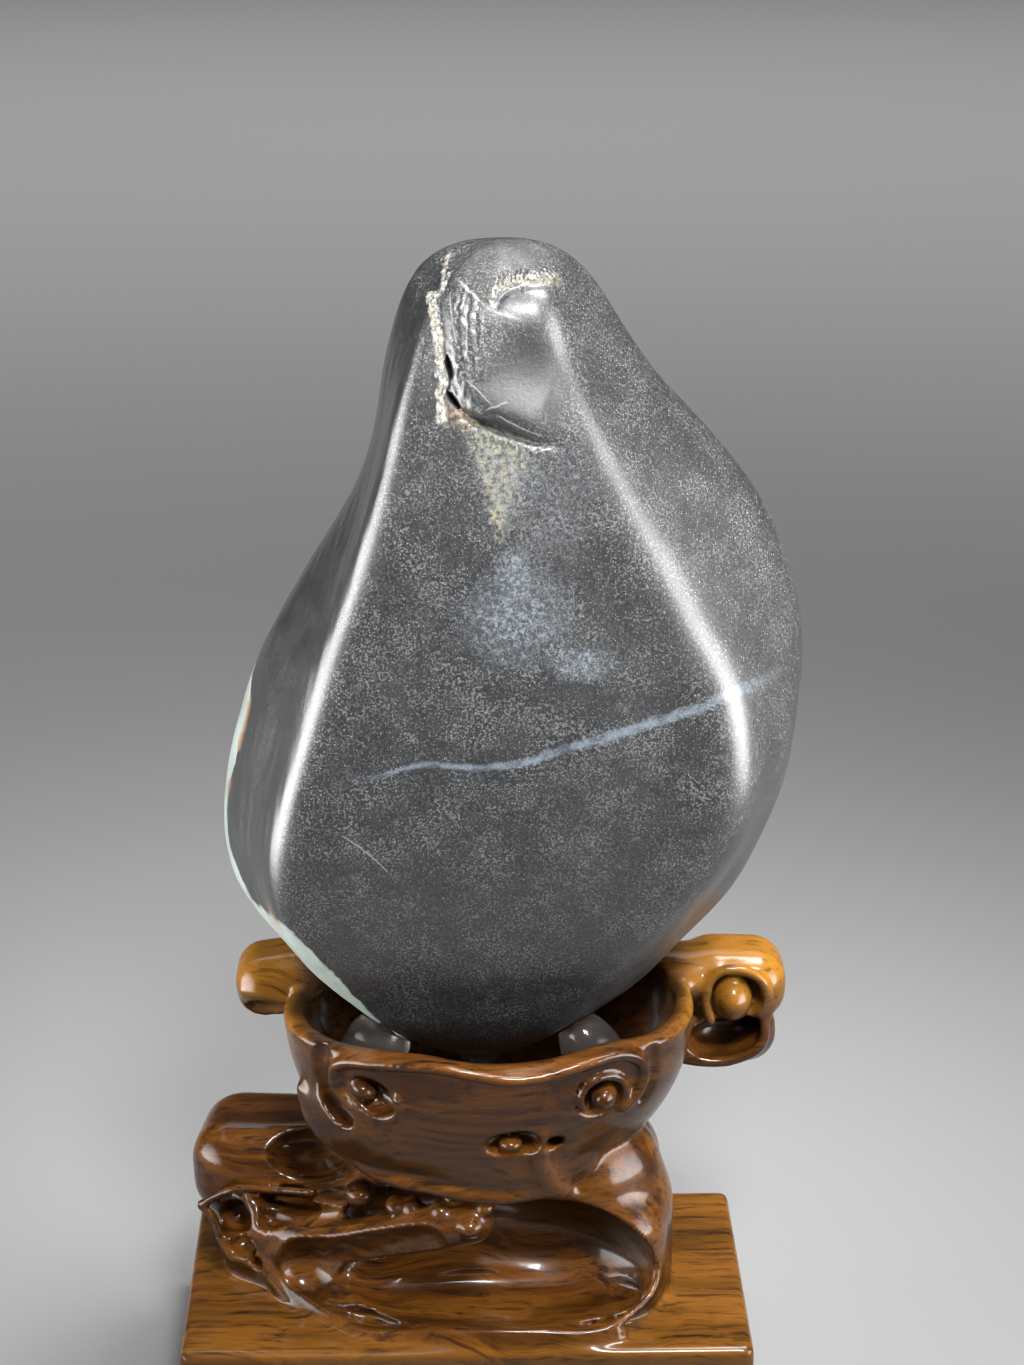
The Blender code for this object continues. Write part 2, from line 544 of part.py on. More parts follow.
def relieved(mesh):
    """Carves the head's relief into a fine mesh of the stone."""
    count = len(mesh.vertices)
    points = np.empty(count * 3)
    normals = np.empty(count * 3)
    mesh.vertices.foreach_get("co", points)
    mesh.vertices.foreach_get("normal", normals)
    points = points.reshape(-1, 3)
    normals = normals.reshape(-1, 3)
    points += normals * head_relief(points / MM, normals)[:, None] * MM
    mesh.vertices.foreach_set("co", points.ravel())
    mesh.update()


def thin_out(thing, faces):
    """Leaves about this many triangles, most where the surface bends."""
    graph = bpy.context.evaluated_depsgraph_get()
    mesh = thing.evaluated_get(graph).to_mesh()
    mesh.calc_loop_triangles()
    found = len(mesh.loop_triangles)
    fewer = thing.modifiers.new("fewer faces", "DECIMATE")
    fewer.ratio = faces / found


def make_stone(paint):
    cage = new_object("stone_cage", stone_cage())
    smooth = cage.modifiers.new("smooth", "SUBSURF")
    smooth.levels = 4
    smooth.render_levels = 4
    mesh = evaluated_copy(cage)
    bpy.data.objects.remove(cage)
    relieved(mesh)
    mesh.shade_smooth()
    stone = new_object("stone", mesh, paint)
    thin_out(stone, STONE_FACES)
    return stone


def hidden_cutter(thing):
    thing.hide_render = True
    thing.display_type = "WIRE"
    return thing


def ball(name, centre, radii, turn=(0, 0, 0)):
    """A smooth ellipsoid given in millimetres."""
    mesh = bpy.data.meshes.new(name)
    form = bmesh.new()
    bmesh.ops.create_icosphere(form, subdivisions=3, radius=1)
    spin = Matrix.Rotation(math.radians(turn[2]), 4, "Z") @ Matrix.Rotation(math.radians(turn[1]), 4, "Y")
    stretch = Matrix.Diagonal((*(Vector(radii) * MM), 1))
    bmesh.ops.transform(form, matrix=Matrix.Translation(Vector(centre) * MM) @ spin @ stretch, verts=form.verts)
    form.to_mesh(mesh)
    form.free()
    mesh.shade_smooth()
    return new_object(name, mesh)


def swollen_stone(stone):
    """The stone made a gap larger all round, to seat the pads on."""
    mesh = evaluated_copy(stone)
    for vertex in mesh.vertices:
        vertex.co += vertex.normal * PAD_GAP
    return hidden_cutter(new_object("stone_room", mesh))


def boolean(thing, other, operation):
    step = thing.modifiers.new(other.name, "BOOLEAN")
    step.operation = operation
    step.object = other


def make_pads(stone, paint):
    """Clear blobs squeezed between the bowl and the stone."""
    centre, radii = HOLLOW
    inside = [side - PAD_GAP / MM for side in radii]
    room = hidden_cutter(ball("bowl_room", centre, inside))
    swollen = swollen_stone(stone)
    for name, place, size, turn in PADS:
        pad = ball(name, place, size, turn)
        pad.data.materials.append(paint)
        boolean(pad, room, "INTERSECT")
        boolean(pad, swollen, "DIFFERENCE")


clear_scene()
make_stand(material("rosewood", (0.16, 0.055, 0.02), 0.25))
stone = make_stone(material("black stone", (0.03, 0.03, 0.033), 0.4))
make_pads(stone, material("clear pad", (0.9, 0.93, 0.95), 0.2, transmission=0.9))
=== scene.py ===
# A black river stone seated on clear pads in its carved rosewood stand.
# Lengths in the pieces' own settings are millimetres; the scene itself is in metres.
import math

import bmesh
import bpy
import numpy as np
from mathutils import Matrix, Vector
from mathutils.bvhtree import BVHTree


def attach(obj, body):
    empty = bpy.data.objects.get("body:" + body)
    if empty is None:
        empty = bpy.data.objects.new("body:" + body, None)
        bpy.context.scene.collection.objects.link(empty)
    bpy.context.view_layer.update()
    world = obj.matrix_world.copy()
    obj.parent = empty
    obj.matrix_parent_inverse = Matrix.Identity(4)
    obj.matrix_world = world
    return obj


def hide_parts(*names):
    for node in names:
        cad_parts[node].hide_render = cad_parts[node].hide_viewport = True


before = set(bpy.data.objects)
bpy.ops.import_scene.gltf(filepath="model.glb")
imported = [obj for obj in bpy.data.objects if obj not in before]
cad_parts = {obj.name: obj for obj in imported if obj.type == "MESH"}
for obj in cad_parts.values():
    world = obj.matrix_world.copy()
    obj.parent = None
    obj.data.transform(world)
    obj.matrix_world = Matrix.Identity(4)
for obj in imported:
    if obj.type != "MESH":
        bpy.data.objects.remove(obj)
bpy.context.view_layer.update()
mm = 0.001


# wraps a node's output, so that sums and masks are written as expressions
class Socket:
    def __init__(self, tree, output):
        self.tree = tree
        self.output = output

    def add(self, kind, settings=None, values=None, output=0):
        node = self.tree.nodes.new(kind)
        for name, value in (settings or {}).items():
            if name == "curve":
                fillCurve(node.mapping, value)
            else:
                setattr(node, name, value)
        for place, value in (values or {}).items():
            if isinstance(value, Socket):
                self.tree.links.new(value.output, node.inputs[place])
            else:
                node.inputs[place].default_value = value
        return Socket(self.tree, node.outputs[output])

    def math(self, operation, *values):
        return self.add("ShaderNodeMath", {"operation": operation}, dict(enumerate(values)))

    def vector(self, operation, *values, output=0):
        return self.add("ShaderNodeVectorMath", {"operation": operation}, dict(enumerate(values)), output)

    def parts(self):
        split = self.add("ShaderNodeSeparateXYZ", None, {0: self})
        return [Socket(self.tree, out) for out in split.output.node.outputs]

    def __add__(self, other):
        return self.math("ADD", self, other)

    def __radd__(self, other):
        return self.math("ADD", other, self)

    def __sub__(self, other):
        return self.math("SUBTRACT", self, other)

    def __rsub__(self, other):
        return self.math("SUBTRACT", other, self)

    def __mul__(self, other):
        return self.math("MULTIPLY", self, other)

    def __rmul__(self, other):
        return self.math("MULTIPLY", other, self)

    def __truediv__(self, other):
        return self.math("DIVIDE", self, other)

    def __rtruediv__(self, other):
        return self.math("DIVIDE", other, self)

    def __neg__(self):
        return self.math("MULTIPLY", self, -1.0)

    def __abs__(self):
        return self.math("ABSOLUTE", self)

    def atMost(self, limit):
        return self.math("MINIMUM", self, limit)

    def atLeast(self, limit):
        return self.math("MAXIMUM", self, limit)

    # for carving: distances, negative inside the wood
    def join(self, other, blend):
        return self.math("SMOOTH_MIN", self, other, blend * mm)

    def cut(self, other, blend):
        return self.math("SMOOTH_MAX", self, -other, blend * mm)

    def keep(self, other, blend):
        return self.math("SMOOTH_MAX", self, other, blend * mm)


def fillCurve(mapping, points):
    line = mapping.curves[0]
    while len(line.points) < len(points):
        line.points.new(0.5, 0.5)
    for spot, place in zip(line.points, points):
        spot.location = place
    mapping.update()


def newObject(name, data, paint=None):
    thing = bpy.data.objects.new(name, data)
    bpy.context.scene.collection.objects.link(thing)
    if paint:
        data.materials.clear()
        data.materials.append(paint)
    return thing


def settled(thing):
    # the mesh with its modifiers applied
    graph = bpy.context.evaluated_depsgraph_get()
    return bpy.data.meshes.new_from_object(thing.evaluated_get(graph))


def thinOut(thing, faces):
    mesh = settled(thing)
    mesh.calc_loop_triangles()
    found = len(mesh.loop_triangles)
    bpy.data.meshes.remove(mesh)
    if found > faces:
        fewer = thing.modifiers.new("fewer faces", "DECIMATE")
        fewer.ratio = faces / found


def finished(thing, name, paint):
    # a plain mesh object in place of one with modifiers
    mesh = settled(thing)
    bpy.data.objects.remove(thing)
    mesh.shade_smooth()
    return newObject(name, mesh, paint)


def smoothLine(points, closed=False, steps=8):
    # a Catmull-Rom curve through the points
    count = len(points)
    spots = []
    for first in range(count if closed else count - 1):
        around = []
        for offset in (-1, 0, 1, 2):
            index = first + offset
            index = index % count if closed else min(max(index, 0), count - 1)
            around.append(Vector(points[index]))
        before, start, end, after = around
        for step in range(steps):
            part = step / steps
            spots.append(0.5 * (2 * start + (end - before) * part
                                + (2 * before - 5 * start + 4 * end - after) * part ** 2
                                + (3 * start - before - 3 * end + after) * part ** 3))
    if not closed:
        spots.append(Vector(points[-1]))
    return spots


def newPaint(name, fixed):
    # what is the same all over goes straight on the shader's own sockets
    paint = bpy.data.materials.new(name)
    paint.use_nodes = True
    shader = paint.node_tree.nodes["Principled BSDF"]
    for place, value in fixed.items():
        shader.inputs[place].default_value = (*value, 1) if isinstance(value, tuple) else value
    return paint, shader, Socket(paint.node_tree, shader.outputs[0])


def inMillimetres(start):
    place = start.add("ShaderNodeTexCoord", output="Object")
    return start.add("ShaderNodeVectorMath", {"operation": "SCALE"}, {0: place, "Scale": 1 / mm})


def feed(shader, place, value):
    value.tree.links.new(value.output, shader.inputs[place])


def noise(where, scale, detail=2.0, roughness=0.5, distortion=0.0):
    # scale is the number of lumps in a millimetre
    return where.add("ShaderNodeTexNoise", None, {"Vector": where, "Scale": scale, "Detail": detail,
                                                  "Roughness": roughness, "Distortion": distortion})


def rise(value, low, high):
    # 0 below low, 1 above high, smooth between; low may be the larger
    return value.add("ShaderNodeMapRange", {"interpolation_type": "SMOOTHSTEP"},
                     {0: value, 1: low, 2: high, 3: 0.0, 4: 1.0})


def blend(mask, first, second):
    def whole(colour):
        return colour if isinstance(colour, Socket) else (*colour, 1)
    return mask.add("ShaderNodeMix", {"data_type": "RGBA"}, {0: mask, 6: whole(first), 7: whole(second)}, 2)


def follow(value, points):
    # a smooth line through (input, result) points
    lows = [min(point[axis] for point in points) for axis in (0, 1)]
    spans = [max(point[axis] for point in points) - lows[axis] for axis in (0, 1)]
    inside = [((x - lows[0]) / spans[0], (y - lows[1]) / spans[1]) for x, y in sorted(points)]
    part = (value - lows[0]) / spans[0]
    bent = value.add("ShaderNodeFloatCurve", {"curve": inside}, {"Value": part})
    return bent * spans[1] + lows[1]


def stretched(where, factors, turn=None):
    # the same place with its axes scaled, for streaks
    if turn:
        where = where.add("ShaderNodeVectorRotate", {"rotation_type": "EULER_XYZ"},
                          {"Vector": where, "Rotation": [math.radians(angle) for angle in turn]})
    return where.vector("MULTIPLY", where, factors)


# the stone: colours are linear, lengths in millimetres
stoneLook = {
    "black": (0.007, 0.0074, 0.0078),
    "grain": (0.102, 0.105, 0.109),
    "sparkle": (0.52, 0.52, 0.51),
    # painted light over its own streaks: the right side's lighter grey-brown
    "streakedLitRightSide": (0.085, 0.081, 0.074),
    # painted shade: the left side's near-black
    "shadedLeftSide": (0.006, 0.0065, 0.0065),
    "vein": (0.16, 0.195, 0.235),
    "haze": (0.25, 0.26, 0.27),
    "mist": (0.285, 0.33, 0.375),
    "crystal": (0.29, 0.28, 0.235),
    "pyrite": (0.28, 0.235, 0.12),
    "wedge": (0.17, 0.178, 0.152),
    "rimGold": (0.28, 0.235, 0.13),
    "rimShade": (0.09, 0.088, 0.078),
    "rust": (0.21, 0.12, 0.05),
    "scratch": (0.40, 0.40, 0.38),
    "paleLayer": (0.27, 0.315, 0.285),
    "paleShade": (0.20, 0.235, 0.215),
    # how strongly each marking covers the black; the right side's tone is partly painted light, the left side's
    # painted shade
    "cover": {"streakedLitRightSide": 0.55, "shadedLeftSide": 0.8, "sparkle": 0.6, "haze": 0.26, "mist": 0.52, "boss": 0.8,
              "wedge": 0.72, "gilding": 0.75, "brow": 0.35, "scratch": 0.3, "rust": 0.8},
    # lumps of each pattern in a millimetre
    "lumps": {"mottle": 2.6, "cloud": 0.12, "crystals": 2.4, "streaks": 1.5, "crumble": 1.0, "rough": 1.1},
    "polish": {"IOR": 1.6, "Coat Roughness": 0.27},
    "roughness": 0.43,
    "coat": 0.6,
    "coatLostBelow": 0.45,  # the polish is duller on what faces down
    "pitDepth": 0.12,
    # soft ovals on the face, as X, Z, half width, half height
    "hazePlace": (13, 181, 10, 13),
    "mistPlaces": ((9, 161, 9, 8), (20, 153, 5.5, 3), (8.5, 169, 3, 4)),
    "bossPlace": (11, 200.5, 8, 8),
    "gildedPlace": (3.4, 209, 3.2, 6.5),
    "rustPlace": (-0.6, 194.8, 2.2, 1.5),
    "ridgeReach": (10.5, 13.0),  # how far the left and right ridges are rounded
    "faceSwell": 2.0,
    "backTurns": (25, 52, 90, 128, 155),  # where the back's points lie, in degrees from the right
    "backFullness": 0.8,
    "bossLift": 1.05,
    "bossReach": 7,
    "noseLift": 1.5,
    "nosePlace": (12.2, 211),
    "noseReach": 6.5,
    "rimLift": 0.55,
    "slitDepth": 2.4,
    "slitWidth": 0.33,
    "creviceDepth": 2.2,
    "wrinkles": 0.07,
    "slowSwells": 0.16,
    "sideFlutes": 0.03,
    "inset": 0.2,  # keeps the relief inside the stated size
    "faces": 190000,
}

# the stone's leading lines, as (X, Y, Z) from the foot to the head
leftEdge = [(-14.5, 1, 70), (-23.7, 1, 78), (-32.4, 1, 88), (-40.9, 1, 100), (-43.9, 1, 112), (-42.7, 1, 125),
            (-38.7, 1, 140), (-31.9, 1, 155), (-22.6, 1, 170), (-16.2, 1, 184), (-13.8, 1, 196),
            (-11.8, 1, 206), (-8.2, 1, 214), (-2.5, 1, 219)]
rightEdge = [(20, 2, 70), (31, 2, 78), (41, 2, 88), (50.5, 2, 100), (56.2, 2, 112), (60, 2, 125),
             (61.4, 2, 140), (60.6, 2, 155), (55.2, 2, 170), (45, 2, 184), (34.2, 2, 196),
             (27.8, 2, 206), (22.7, 2, 214), (16.3, 2, 219)]
leftRidge = [(-8, -6, 70), (-16, -11, 78), (-24, -17, 88), (-31, -22, 100), (-33.5, -24.5, 112),
             (-31.2, -25.5, 125), (-27.2, -25.5, 140), (-22.3, -24.5, 155), (-17.8, -23, 170),
             (-13.8, -21, 184), (-10.8, -18.5, 196), (-7.5, -15.5, 206), (-4, -11, 214), (1, -5, 219)]
rightRidge = [(12, -6, 70), (19, -11, 78), (27, -16, 88), (35, -20.5, 100), (43, -23.5, 112),
              (48.4, -25, 125), (48.3, -25.5, 140), (42.7, -24.8, 155), (34.3, -23.5, 170),
              (27.2, -21.5, 184), (21, -18.5, 196), (17, -15, 206), (14, -11, 214), (10, -5, 219)]
backDepth = [8, 15, 21, 26.5, 29.5, 31, 30.5, 28.5, 25.5, 22, 19.5, 16.5, 11.5, 6]
stoneFoot = (3, 0, 64.5)
stoneTop = (6.5, 0, 221.5)

# lines on the face, as (X, Z)
crystalLine = [(0.2, 219.6), (-2.6, 217.2), (-3.4, 214.0), (-4.9, 212.6), (-4.2, 209.0), (-3.8, 206),
               (-3.5, 202.6), (-3.0, 200.2), (-3.7, 197.6), (-3.3, 194.2)]
slitLines = [[(-2.5, 204.6), (-2.2, 202.6), (-1.9, 200.9)], [(-2.5, 198.9), (-1.4, 197.4), (-0.5, 196.1)]]
crevice = [(-0.6, 196.2), (1.2, 194.9), (3.2, 193.9), (5.6, 193.4), (8.9, 192.0), (12.4, 190.8),
           (16.2, 190.1)]
brow = [(4.3, 212), (5.6, 214.4), (7.6, 215.6), (10.6, 216.0), (14.0, 215.8), (17.6, 214.0)]
bossEdge = [(2.5, 221), (-2.2, 217), (-3.6, 214.0), (-3.5, 206.8), (-2.4, 202), (-1.4, 198), (0.6, 195.6),
            (3.2, 194.1), (6.4, 193.0), (9.8, 191.7), (13.1, 190.7), (18, 189.8)]
scratches = [[(0.3, 201.1), (4.6, 197.3), (5.6, 195.9)], [(3.7, 196.0), (7.9, 197.5)],
             [(5.6, 195.6), (8.9, 193.6), (13.8, 191.6)], [(-1.9, 214.3), (-1.5, 210), (-0.7, 206.2)],
             [(0.2, 213), (0.9, 208), (0.4, 203.5)], [(-21.6, 121.8), (-17, 118.2), (-13, 114.1)]]
veinLine = [(-26, 126), (-20.7, 130.4), (-13.6, 133.2), (-6.7, 135.0), (1.0, 134.6), (8.7, 135.1),
            (16.5, 137.6), (24.2, 139.8), (32.7, 142.4), (40.4, 144.8), (47.4, 147.0), (52.6, 146.2),
            (62, 142.5)]
wedgeLeftLine = [(174, 5.6), (180, 4.2), (186, 2.6), (191, 0.8), (196, -3.2)]  # as (Z, X)
wedgeRightLine = [(174, 6.4), (178, 8.6), (183, 10.2), (187, 12.8), (190.5, 17.5), (196, 19)]
# where the pale layer begins behind, as (Z, Y)
layerLine = [(60, -9), (80, -8.5), (100, -8.5), (103, -8), (108, -5), (113, -1), (118, 0.5), (128, -2),
             (136, -3), (140, 0), (145, 4.4), (152, 14), (170, 34), (222, 60)]


def levelLine(edgeLeft, ridgeLeft, ridgeRight, edgeRight, back):
    # one level line of the stone, from the left edge round the front, the right and the back
    edgeLeft, ridgeLeft, ridgeRight, edgeRight = map(Vector, (edgeLeft, ridgeLeft, ridgeRight, edgeRight))
    leftReach, rightReach = stoneLook["ridgeReach"]

    def toward(start, end, reach):
        step = end - start
        return start + step * min(0.45, reach / step.length)

    middle = (ridgeLeft + ridgeRight) / 2 - Vector((0, stoneLook["faceSwell"], 0))
    points = [edgeLeft,
              toward(ridgeLeft, edgeLeft, leftReach), ridgeLeft, toward(ridgeLeft, middle, leftReach),
              middle,
              toward(ridgeRight, middle, rightReach), ridgeRight, toward(ridgeRight, edgeRight, rightReach),
              edgeRight]
    centre = (edgeLeft + edgeRight) / 2
    half = (edgeRight.x - edgeLeft.x) / 2
    full = stoneLook["backFullness"]
    for turn in stoneLook["backTurns"]:
        across, behind = math.cos(math.radians(turn)), math.sin(math.radians(turn))
        points.append(Vector((centre.x + half * math.copysign(abs(across) ** full, across),
                              centre.y + (back - centre.y) * behind ** full, edgeLeft.z)))
    return points


def stoneCage():
    rails = zip(leftEdge, leftRidge, rightRidge, rightEdge, backDepth)
    rings = np.array([levelLine(*level) for level in rails])
    # moved outward by what the smooth surface shrinks, so that it passes through the lines
    inner = rings.copy()
    inner[1:-1] = (rings[:-2] + 4 * rings[1:-1] + rings[2:]) / 6
    inner = (np.roll(inner, 1, axis=1) + 4 * inner + np.roll(inner, -1, axis=1)) / 6
    cage = 2 * rings - inner
    levels, count = cage.shape[:2]
    points = [Vector(stoneFoot)] + [Vector(point) for line in cage for point in line] + [Vector(stoneTop)]
    faces = []
    for level in range(levels - 1):
        for spot in range(count):
            low = 1 + level * count
            after = (spot + 1) % count
            faces.append((low + spot, low + after, low + count + after, low + count + spot))
    last = len(points) - 1
    for spot in range(count):
        after = (spot + 1) % count
        faces.append((0, 1 + after, 1 + spot))
        faces.append((last, last - count + spot, last - count + after))
    mesh = bpy.data.meshes.new("stone cage")
    mesh.from_pydata([point * mm for point in points], [], faces)
    return mesh


def nearLine(points, line):
    # how far each point lies from a line drawn on the face, on which side, and how far along
    best = np.full(len(points), np.inf)
    side = np.zeros(len(points))
    along = np.zeros(len(points))
    line = np.array(line, float)
    for number, (start, end) in enumerate(zip(line[:-1], line[1:])):
        step = end - start
        part = np.clip(((points - start) @ step) / (step @ step), 0, 1)
        offset = points - start - part[:, None] * step
        gap = np.hypot(offset[:, 0], offset[:, 1])
        nearer = gap < best
        best[nearer] = gap[nearer]
        side[nearer] = np.sign(step[0] * offset[nearer, 1] - step[1] * offset[nearer, 0])
        along[nearer] = (number + part[nearer]) / (len(line) - 1)
    return best, side, along


def ripple(points, seed, waves, shortest, longest):
    # a smooth random field of unit size, as a sum of plane waves
    rng = np.random.default_rng(seed)
    total = np.zeros(len(points))
    for number in range(waves):
        heading = rng.normal(size=3)
        heading /= np.linalg.norm(heading)
        length = shortest * (longest / shortest) ** rng.random()
        total += np.sin(points @ heading * 2 * math.pi / length + rng.random() * 6.28)
    return total / math.sqrt(waves / 2)


def hump(gap, reach):
    # 1 on a line or spot, falling to nothing a few reaches away
    return np.exp(-(gap / reach) ** 2)


def headRelief(points, normals):
    look = stoneLook
    flat = points[:, [0, 2]]
    front = np.clip(-normals[:, 1] * 2.5 + 0.2, 0, 1)
    coarse = ripple(points, 3, 30, 1.2, 3.0)
    fine = ripple(points, 4, 40, 0.5, 1.1)
    # the boss, higher than the face on its own side of the edge, and the nose on it
    gap, side, along = nearLine(flat, bossEdge)
    fade = np.clip(along * 8, 0, 1) * np.clip((1 - along) * 8, 0, 1)
    inside = hump(gap, look["bossReach"]) * (1 - hump(gap, 1.6))
    lift = look["bossLift"] * np.where(side > 0, inside, -0.2 * hump(gap, 5)) * fade
    noseX, noseZ = look["nosePlace"]
    fromNose = np.hypot(flat[:, 0] - noseX, flat[:, 1] - noseZ)
    lift += look["noseLift"] * hump(fromNose, look["noseReach"])
    # the crystal rim down the left of the boss, and the open slits beside it
    gap, side, along = nearLine(flat, crystalLine)
    width = 0.62 + 0.22 * np.sin(along * 20) + 0.1 * coarse
    rim = np.clip(1.3 - gap / width, 0, 1) * np.clip(along * 7, 0.25, 1)
    lift += rim * (look["rimLift"] + 0.16 * coarse + 0.13 * fine)
    for line in slitLines:
        gap, side, along = nearLine(flat, line)
        width = look["slitWidth"] * np.sqrt(np.clip(4 * along * (1 - along), 0.15, 1))
        lift -= look["slitDepth"] * hump(gap, width)
    gap, side, along = nearLine(flat, crevice)
    gape = np.clip(4.2 * along * (1 - along), 0.1, 1)
    lift -= look["creviceDepth"] * gape * hump(gap, 0.42 + 0.35 * gape)
    crumbs = np.where(side < 0, hump(gap - 1.5, 0.8), 0) * gape
    lift += crumbs * (0.25 + 0.3 * fine)
    gap, side, along = nearLine(flat, brow)
    ends = np.clip(4 * along * (1 - along), 0, 1)
    lift += ends * (0.32 + 0.15 * fine) * hump(gap, 0.8)
    lift -= ends * 0.45 * np.where(side < 0, hump(gap - 1.3, 0.6), 0)
    # wrinkles that run down beside the cleft
    zone = np.exp(-((flat[:, 0] - 0.2) / 3.4) ** 4 - ((flat[:, 1] - 205) / 9.5) ** 4)
    lift += zone * look["wrinkles"] * np.sin(flat[:, 0] * 3.9 + 1.1 * np.sin(flat[:, 1] * 0.55) + coarse)
    return lift * front


def sculpt(mesh):
    look = stoneLook
    count = len(mesh.vertices)
    points = np.empty(count * 3)
    normals = np.empty(count * 3)
    mesh.vertices.foreach_get("co", points)
    mesh.vertices.foreach_get("normal", normals)
    points = points.reshape(-1, 3)
    normals = normals.reshape(-1, 3)
    places = points / mm
    lift = headRelief(places, normals)
    lift += look["slowSwells"] * ripple(places, 11, 24, 16, 40)  # what water leaves
    leftward = np.clip(-normals[:, 0] * 2 - 0.9, 0, 1)
    drawnOut = places * (1, 0.8, 0.16)
    lift += leftward * look["sideFlutes"] * ripple(drawnOut, 12, 30, 1.6, 4)
    points += normals * (lift[:, None] - look["inset"]) * mm
    mesh.vertices.foreach_set("co", points.ravel())
    mesh.update()


def stonePaint():
    look, cover, lumps = stoneLook, stoneLook["cover"], stoneLook["lumps"]
    paint, shader, start = newPaint("polished black stone", look["polish"])
    where = inMillimetres(start)
    x, y, z = where.parts()
    nx, ny, nz = start.add("ShaderNodeNewGeometry", output="Normal").parts()
    # which way the sides face: the right side gets painted light over its own streaks, the left side painted
    # shade
    streakedLitRightSide = rise(nx + noise(where, 0.12, 3) * 0.3, 0.72, 0.95)
    shadedLeftSide = rise(-nx + noise(where, 0.2, 3) * 0.2, 0.75, 0.95)
    front = rise(ny, 0.05, -0.25)
    face = rise(ny, -0.3, -0.7)

    def patch(middleX, middleZ, wide, tall):
        # a soft oval on the face
        across, up = (x - middleX) / wide, (z - middleZ) / tall
        return rise(across * across + up * up, 1.6, 0.0)

    # grains: a fine mottle, and single bright crystals, thinned low down as painted shade that darkens the face
    # towards the bottom
    mottle = noise(where, lumps["mottle"], 3, 0.6)
    cloud = noise(where, lumps["cloud"], 5, 0.6)
    upward = rise(z, 88, 140)
    grain = rise(mottle, 0.46, 0.66) * (0.3 + 0.7 * rise(cloud, 0.38, 0.64)) * (0.6 + 0.6 * upward)
    cells = {"Vector": where, "Scale": lumps["crystals"]}
    cell = start.add("ShaderNodeTexVoronoi", None, cells, "Distance")
    cellTone = start.add("ShaderNodeTexVoronoi", None, cells, "Color").parts()[0]
    sparkle = rise(cell, 0.26, 0.10) * rise(cellTone, 0.56, 0.92) * (0.35 + 0.65 * upward)
    colour = blend(grain, look["black"], look["grain"])
    streak = noise(stretched(where, (0.25, 1.2, 0.8), (0, 35, 0)), lumps["streaks"], 4, 0.6)
    # painted light: the right-facing side is painted a lighter grey-brown, over its own diagonal streaks
    brown = blend(rise(streak, 0.36, 0.70) * 0.35 + grain * 0.65, look["black"], look["streakedLitRightSide"])
    colour = blend(streakedLitRightSide * cover["streakedLitRightSide"], colour, brown)
    # painted shade: the left-facing side goes near black and loses its grains and crystals
    colour = blend(shadedLeftSide * cover["shadedLeftSide"], colour, look["shadedLeftSide"])
    sparkleCover = cover["sparkle"] + streakedLitRightSide * 0.3
    colour = blend(sparkle * (1 - shadedLeftSide) * sparkleCover, colour, look["sparkle"])

    # the blue-grey vein that crosses the face, broken on the left and wider to the right
    wobble = (noise(where, 0.5, 3) - 0.5) * 1.1
    veinWidth = 0.75 + 0.55 * rise(x, -12, 30)
    vein = rise(abs(z + wobble - follow(x, veinLine)) - veinWidth, 0.1, -0.9) * rise(ny, 0.2, -0.1)
    veinTone = (0.25 + 0.75 * rise(noise(where, 0.35, 3), 0.3, 0.6)) * rise(x, -21, -9) * rise(x, 60, 44)
    colour = blend(vein * veinTone * (0.45 + 0.25 * mottle), colour, look["vein"])

    # mist of pale specks under the gold
    haze = patch(*look["hazePlace"]) * rise(noise(where, 1.6, 4, 0.7), 0.42, 0.66) * face
    colour = blend(haze * cover["haze"], colour, look["haze"])
    mist = sum(patch(*place) for place in look["mistPlaces"]) * face
    mist = mist * (0.12 + 0.88 * rise(noise(where, 1.2, 5, 0.75), 0.46, 0.68))
    colour = blend(mist.atMost(1.0) * cover["mist"], colour, look["mist"])

    # crystals: the rim, the brow and the gold wedge below the boss
    rough = noise(where, lumps["rough"], 4, 0.6)
    ragged = rough - 0.5
    offRim = abs(x + ragged * 0.9 - follow(z, [(high, wide) for wide, high in crystalLine]))
    rimWidth = (0.4 + 0.5 * rise(z, 214.5, 212.8)) * (0.35 + 1.3 * noise(where, 0.55, 3))
    rim = rise(offRim - rimWidth, 0.05, -0.3) * rise(z, 192.5, 195) * rise(z, 219.2, 218.2) * front
    offBrow = abs(z + ragged * 1.6 - follow(x, brow))
    browMask = rise(offBrow, 1.2, 0.3) * rise(x, 3.6, 5) * rise(x, 18.5, 15) * front
    fromLeft = x - follow(z, wedgeLeftLine) + ragged * 6
    fromRight = follow(z, wedgeRightLine) - x + ragged * 7
    wedge = rise(fromLeft, -0.8, 1.2) * rise(fromRight, -0.8, 2.4) * front
    wedge = wedge * rise(z + ragged * 3, 172, 176) * rise(z - follow(x, crevice), 0.2, -0.8)
    wedge = wedge * rise(x, -3.6, -2.2) * rise(z, 197.5, 195) * rise(x + ragged * 9, 15, 6)
    colour = blend(patch(*look["bossPlace"]) * front * cover["boss"], colour, look["black"])
    crumbs = noise(where, lumps["crumble"], 5, 0.7)
    crumble = rise(crumbs, 0.36, 0.6)
    crystalTone = blend(rise(noise(where, 0.7, 3), 0.42, 0.62), look["crystal"], look["pyrite"])
    golden = noise(where, 0.8, 3, 0.6) + rise(z, 184, 174) * 0.06
    wedgeTone = blend(rise(golden, 0.50, 0.62), look["wedge"], look["pyrite"])
    colour = blend(wedge * rise(crumbs, 0.40, 0.58) * cover["wedge"], colour, wedgeTone)
    flecks = rise(cell, 0.42, 0.16) * rise(cellTone, 0.30, 0.62)
    gilded = rise(offBrow, 3.2, 0.6) * rise(x, 2.6, 5) * rise(x, 19, 15) * front
    gilded = gilded.atLeast(patch(*look["gildedPlace"]) * front * 0.8)
    colour = blend(gilded * flecks * cover["gilding"], colour, crystalTone)
    colour = blend(browMask * crumble * cover["brow"], colour, crystalTone)

